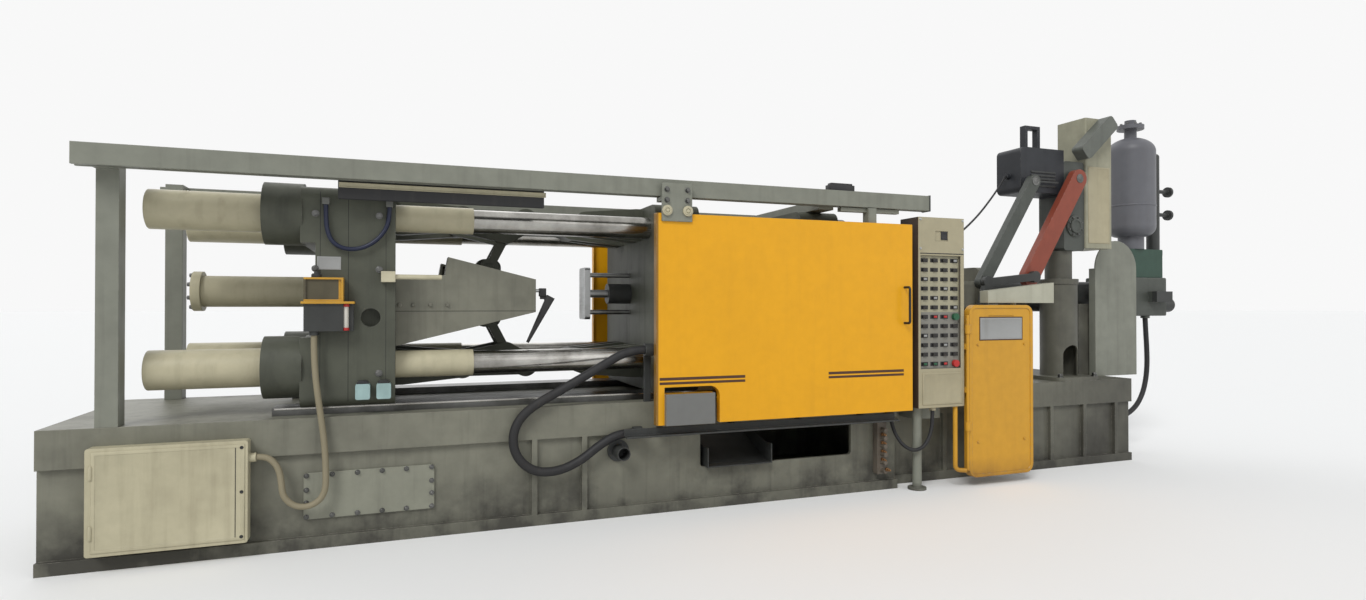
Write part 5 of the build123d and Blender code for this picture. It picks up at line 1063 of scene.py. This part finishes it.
# ladler and injection end: pivot caps, louvres, swing flange, bottle band
pivotSet = dict(caps=(("main_arm", 2.459, 2.184), ("main_arm", 1.97543, 1.42495), ("link_arm", 2.019, 2.139),
                      ("link_arm", 1.53543, 1.37995)),
                probe=0.028, radius=0.034, depth=0.003, sides=36, steps=[(0.006, -0.001), (0.010, 0.0005)],
                soft=0.0006)
louvreSet = dict(xs=(2.06, 2.30), low=2.115, pitch=0.026, count=5, tall=0.0143, proud=0.006,
                 steps=[(0.0015, -0.004)], soft=0.0012, segments=1)
flangeSet = dict(place=(2.495, 1.830), radius=0.082, depth=0.012, sides=48,
                 steps=[(0.026, 0.014), (0.016, -0.006)], soft=0.0015)
bandSet = dict(place=(3.55, -0.06, 2.072), radius=0.1905, tube=0.003, around=96, across=10, tall=2.6)
millimetres = 1000


def makeBand():
    b = bandSet
    bpy.ops.object.select_all(action="DESELECT")
    bpy.ops.mesh.primitive_torus_add(location=b["place"], major_radius=b["radius"], minor_radius=b["tube"],
                                     major_segments=b["around"], minor_segments=b["across"])
    band = bpy.context.object
    band.name = "bottleBand"
    band.scale = (1, 1, b["tall"])
    bpy.ops.object.transform_apply(location=True, rotation=True, scale=True)
    bpy.ops.object.shade_smooth_by_angle(angle=math.radians(softSet["smooth"]))
    settle(band, "bottleGrey", "frame")


def dressInjectionEnd():
    p = pivotSet
    for body, x, z in p["caps"]:
        y = seatOn(body, onFront(x + p["probe"], z), front).y + thinSink
        cap = turned(body + "Cap" + str(int(z * millimetres)), (x, y, z), front, p)
        settle(cap, "oiledSteel", body)
    d = louvreSet
    x0, x1 = d["xs"]
    slots = []
    for k in range(d["count"]):
        z = d["low"] + k * d["pitch"]
        y = seatOn("ladler_head", onFront(x0, z), front).y
        slots.append(block("louvre", (x0, y - d["proud"], z), (x1, y + sink, z + d["tall"]), down, d))
    settle(join("driveLouvres", slots), "darkPaint", "frame")
    x, z = flangeSet["place"]
    y = seatOn("ladler_head", onFront(x, z), front).y + sink
    settle(turned("swingFlange", (x, y, z), front, flangeSet), "headGrey", "frame")
    makeBand()


dressInjectionEnd()
print("injection end dressed")


# bolts and screws, seated on their pieces by the rays that find each face
boltSet = dict(
    coverBolts=dict(node="base_cover_plate", facing=front, xs=(-2.832, -2.715, -2.598, -2.481, -2.364, -2.239),
                    zs=(0.158, 0.363), more=[onFront(x, z) for x in (-2.832, -2.239) for z in (0.228, 0.292)],
                    bolt=(0.019, 0.010), slot="machine_grey"),
    hangerBolts=dict(node="door_hangers", facing=front, xs=(-0.985, -0.860), zs=(1.872, 1.812), bolt=(0.024, 0.012),
                     body="front_door"),
    panelScrews=dict(node="panel_case", facing=front, xs=(0.762, 1.104), zs=(1.775, 1.585), bolt=(0.012, 0.005),
                     finish="machinedSteel"),
    guardScrews=dict(node="guard_panel", facing=front, xs=(1.220, 1.620), zs=(0.95, 0.30), bolt=(0.014, 0.006),
                     finish="guardYellow", body="shot_guard", slot="yellow"),
    tailScrews=dict(node="tail_platen", facing=front, xs=(-2.80, -2.50), zs=(0.86, 1.40, 1.68), bolt=(0.026, 0.012),
                    body="tail"),
    hornScrews=dict(node="crosshead_guides", facing=front, xs=(-2.40, -2.33, -2.24, -2.15), zs=(1.215,),
                    bolt=(0.018, 0.009), finish="bedGrey", body="tail", slot="machine_grey"),
    cylinderCapBolts=dict(node="closing_cylinder", facing=west, centre=(-3.6, 0, 1.290), radius=0.092, count=8,
                          bolt=(0.022, 0.012), body="tail"),
    columnBolts=dict(node="ladler_column", facing=up, xs=(2.285, 2.635), ys=(-0.465, -0.115), zs=(0.7,),
                     bolt=(0.036, 0.022)),
    flangeBolts=dict(node="swingFlange", facing=front, centre=onFront(*flangeSet["place"]), radius=0.069, count=8,
                     bolt=(0.014, 0.008)),
    injectionFlangeBolts=dict(node="injection_frame", facing=east, xs=(1.74,), ys=(-0.255, 0.255),
                              zs=(1.145, 1.290, 1.435), bolt=(0.042, 0.024)),
    shotCapBolts=dict(node="shot_cylinder", facing=west, centre=(3.225, 0, 1.290), radius=0.137, count=10,
                      bolt=(0.024, 0.014)),
    platenEndBolts=dict(node="fixed_platen", facing=east, xs=(0.28,), ys=(-0.47, 0.47), zs=(0.98, 1.29, 1.60),
                        bolt=(0.040, 0.022)),
    bottleBolts=dict(node="nitrogen_bottle", facing=up, centre=(3.55, -0.06, 2.776), radius=0.078, count=8,
                     bolt=(0.022, 0.014)))
for boltName, boltSpec in boltSet.items():
    boltRow(boltName, boltSpec)
print("bolts set", len(boltSet))
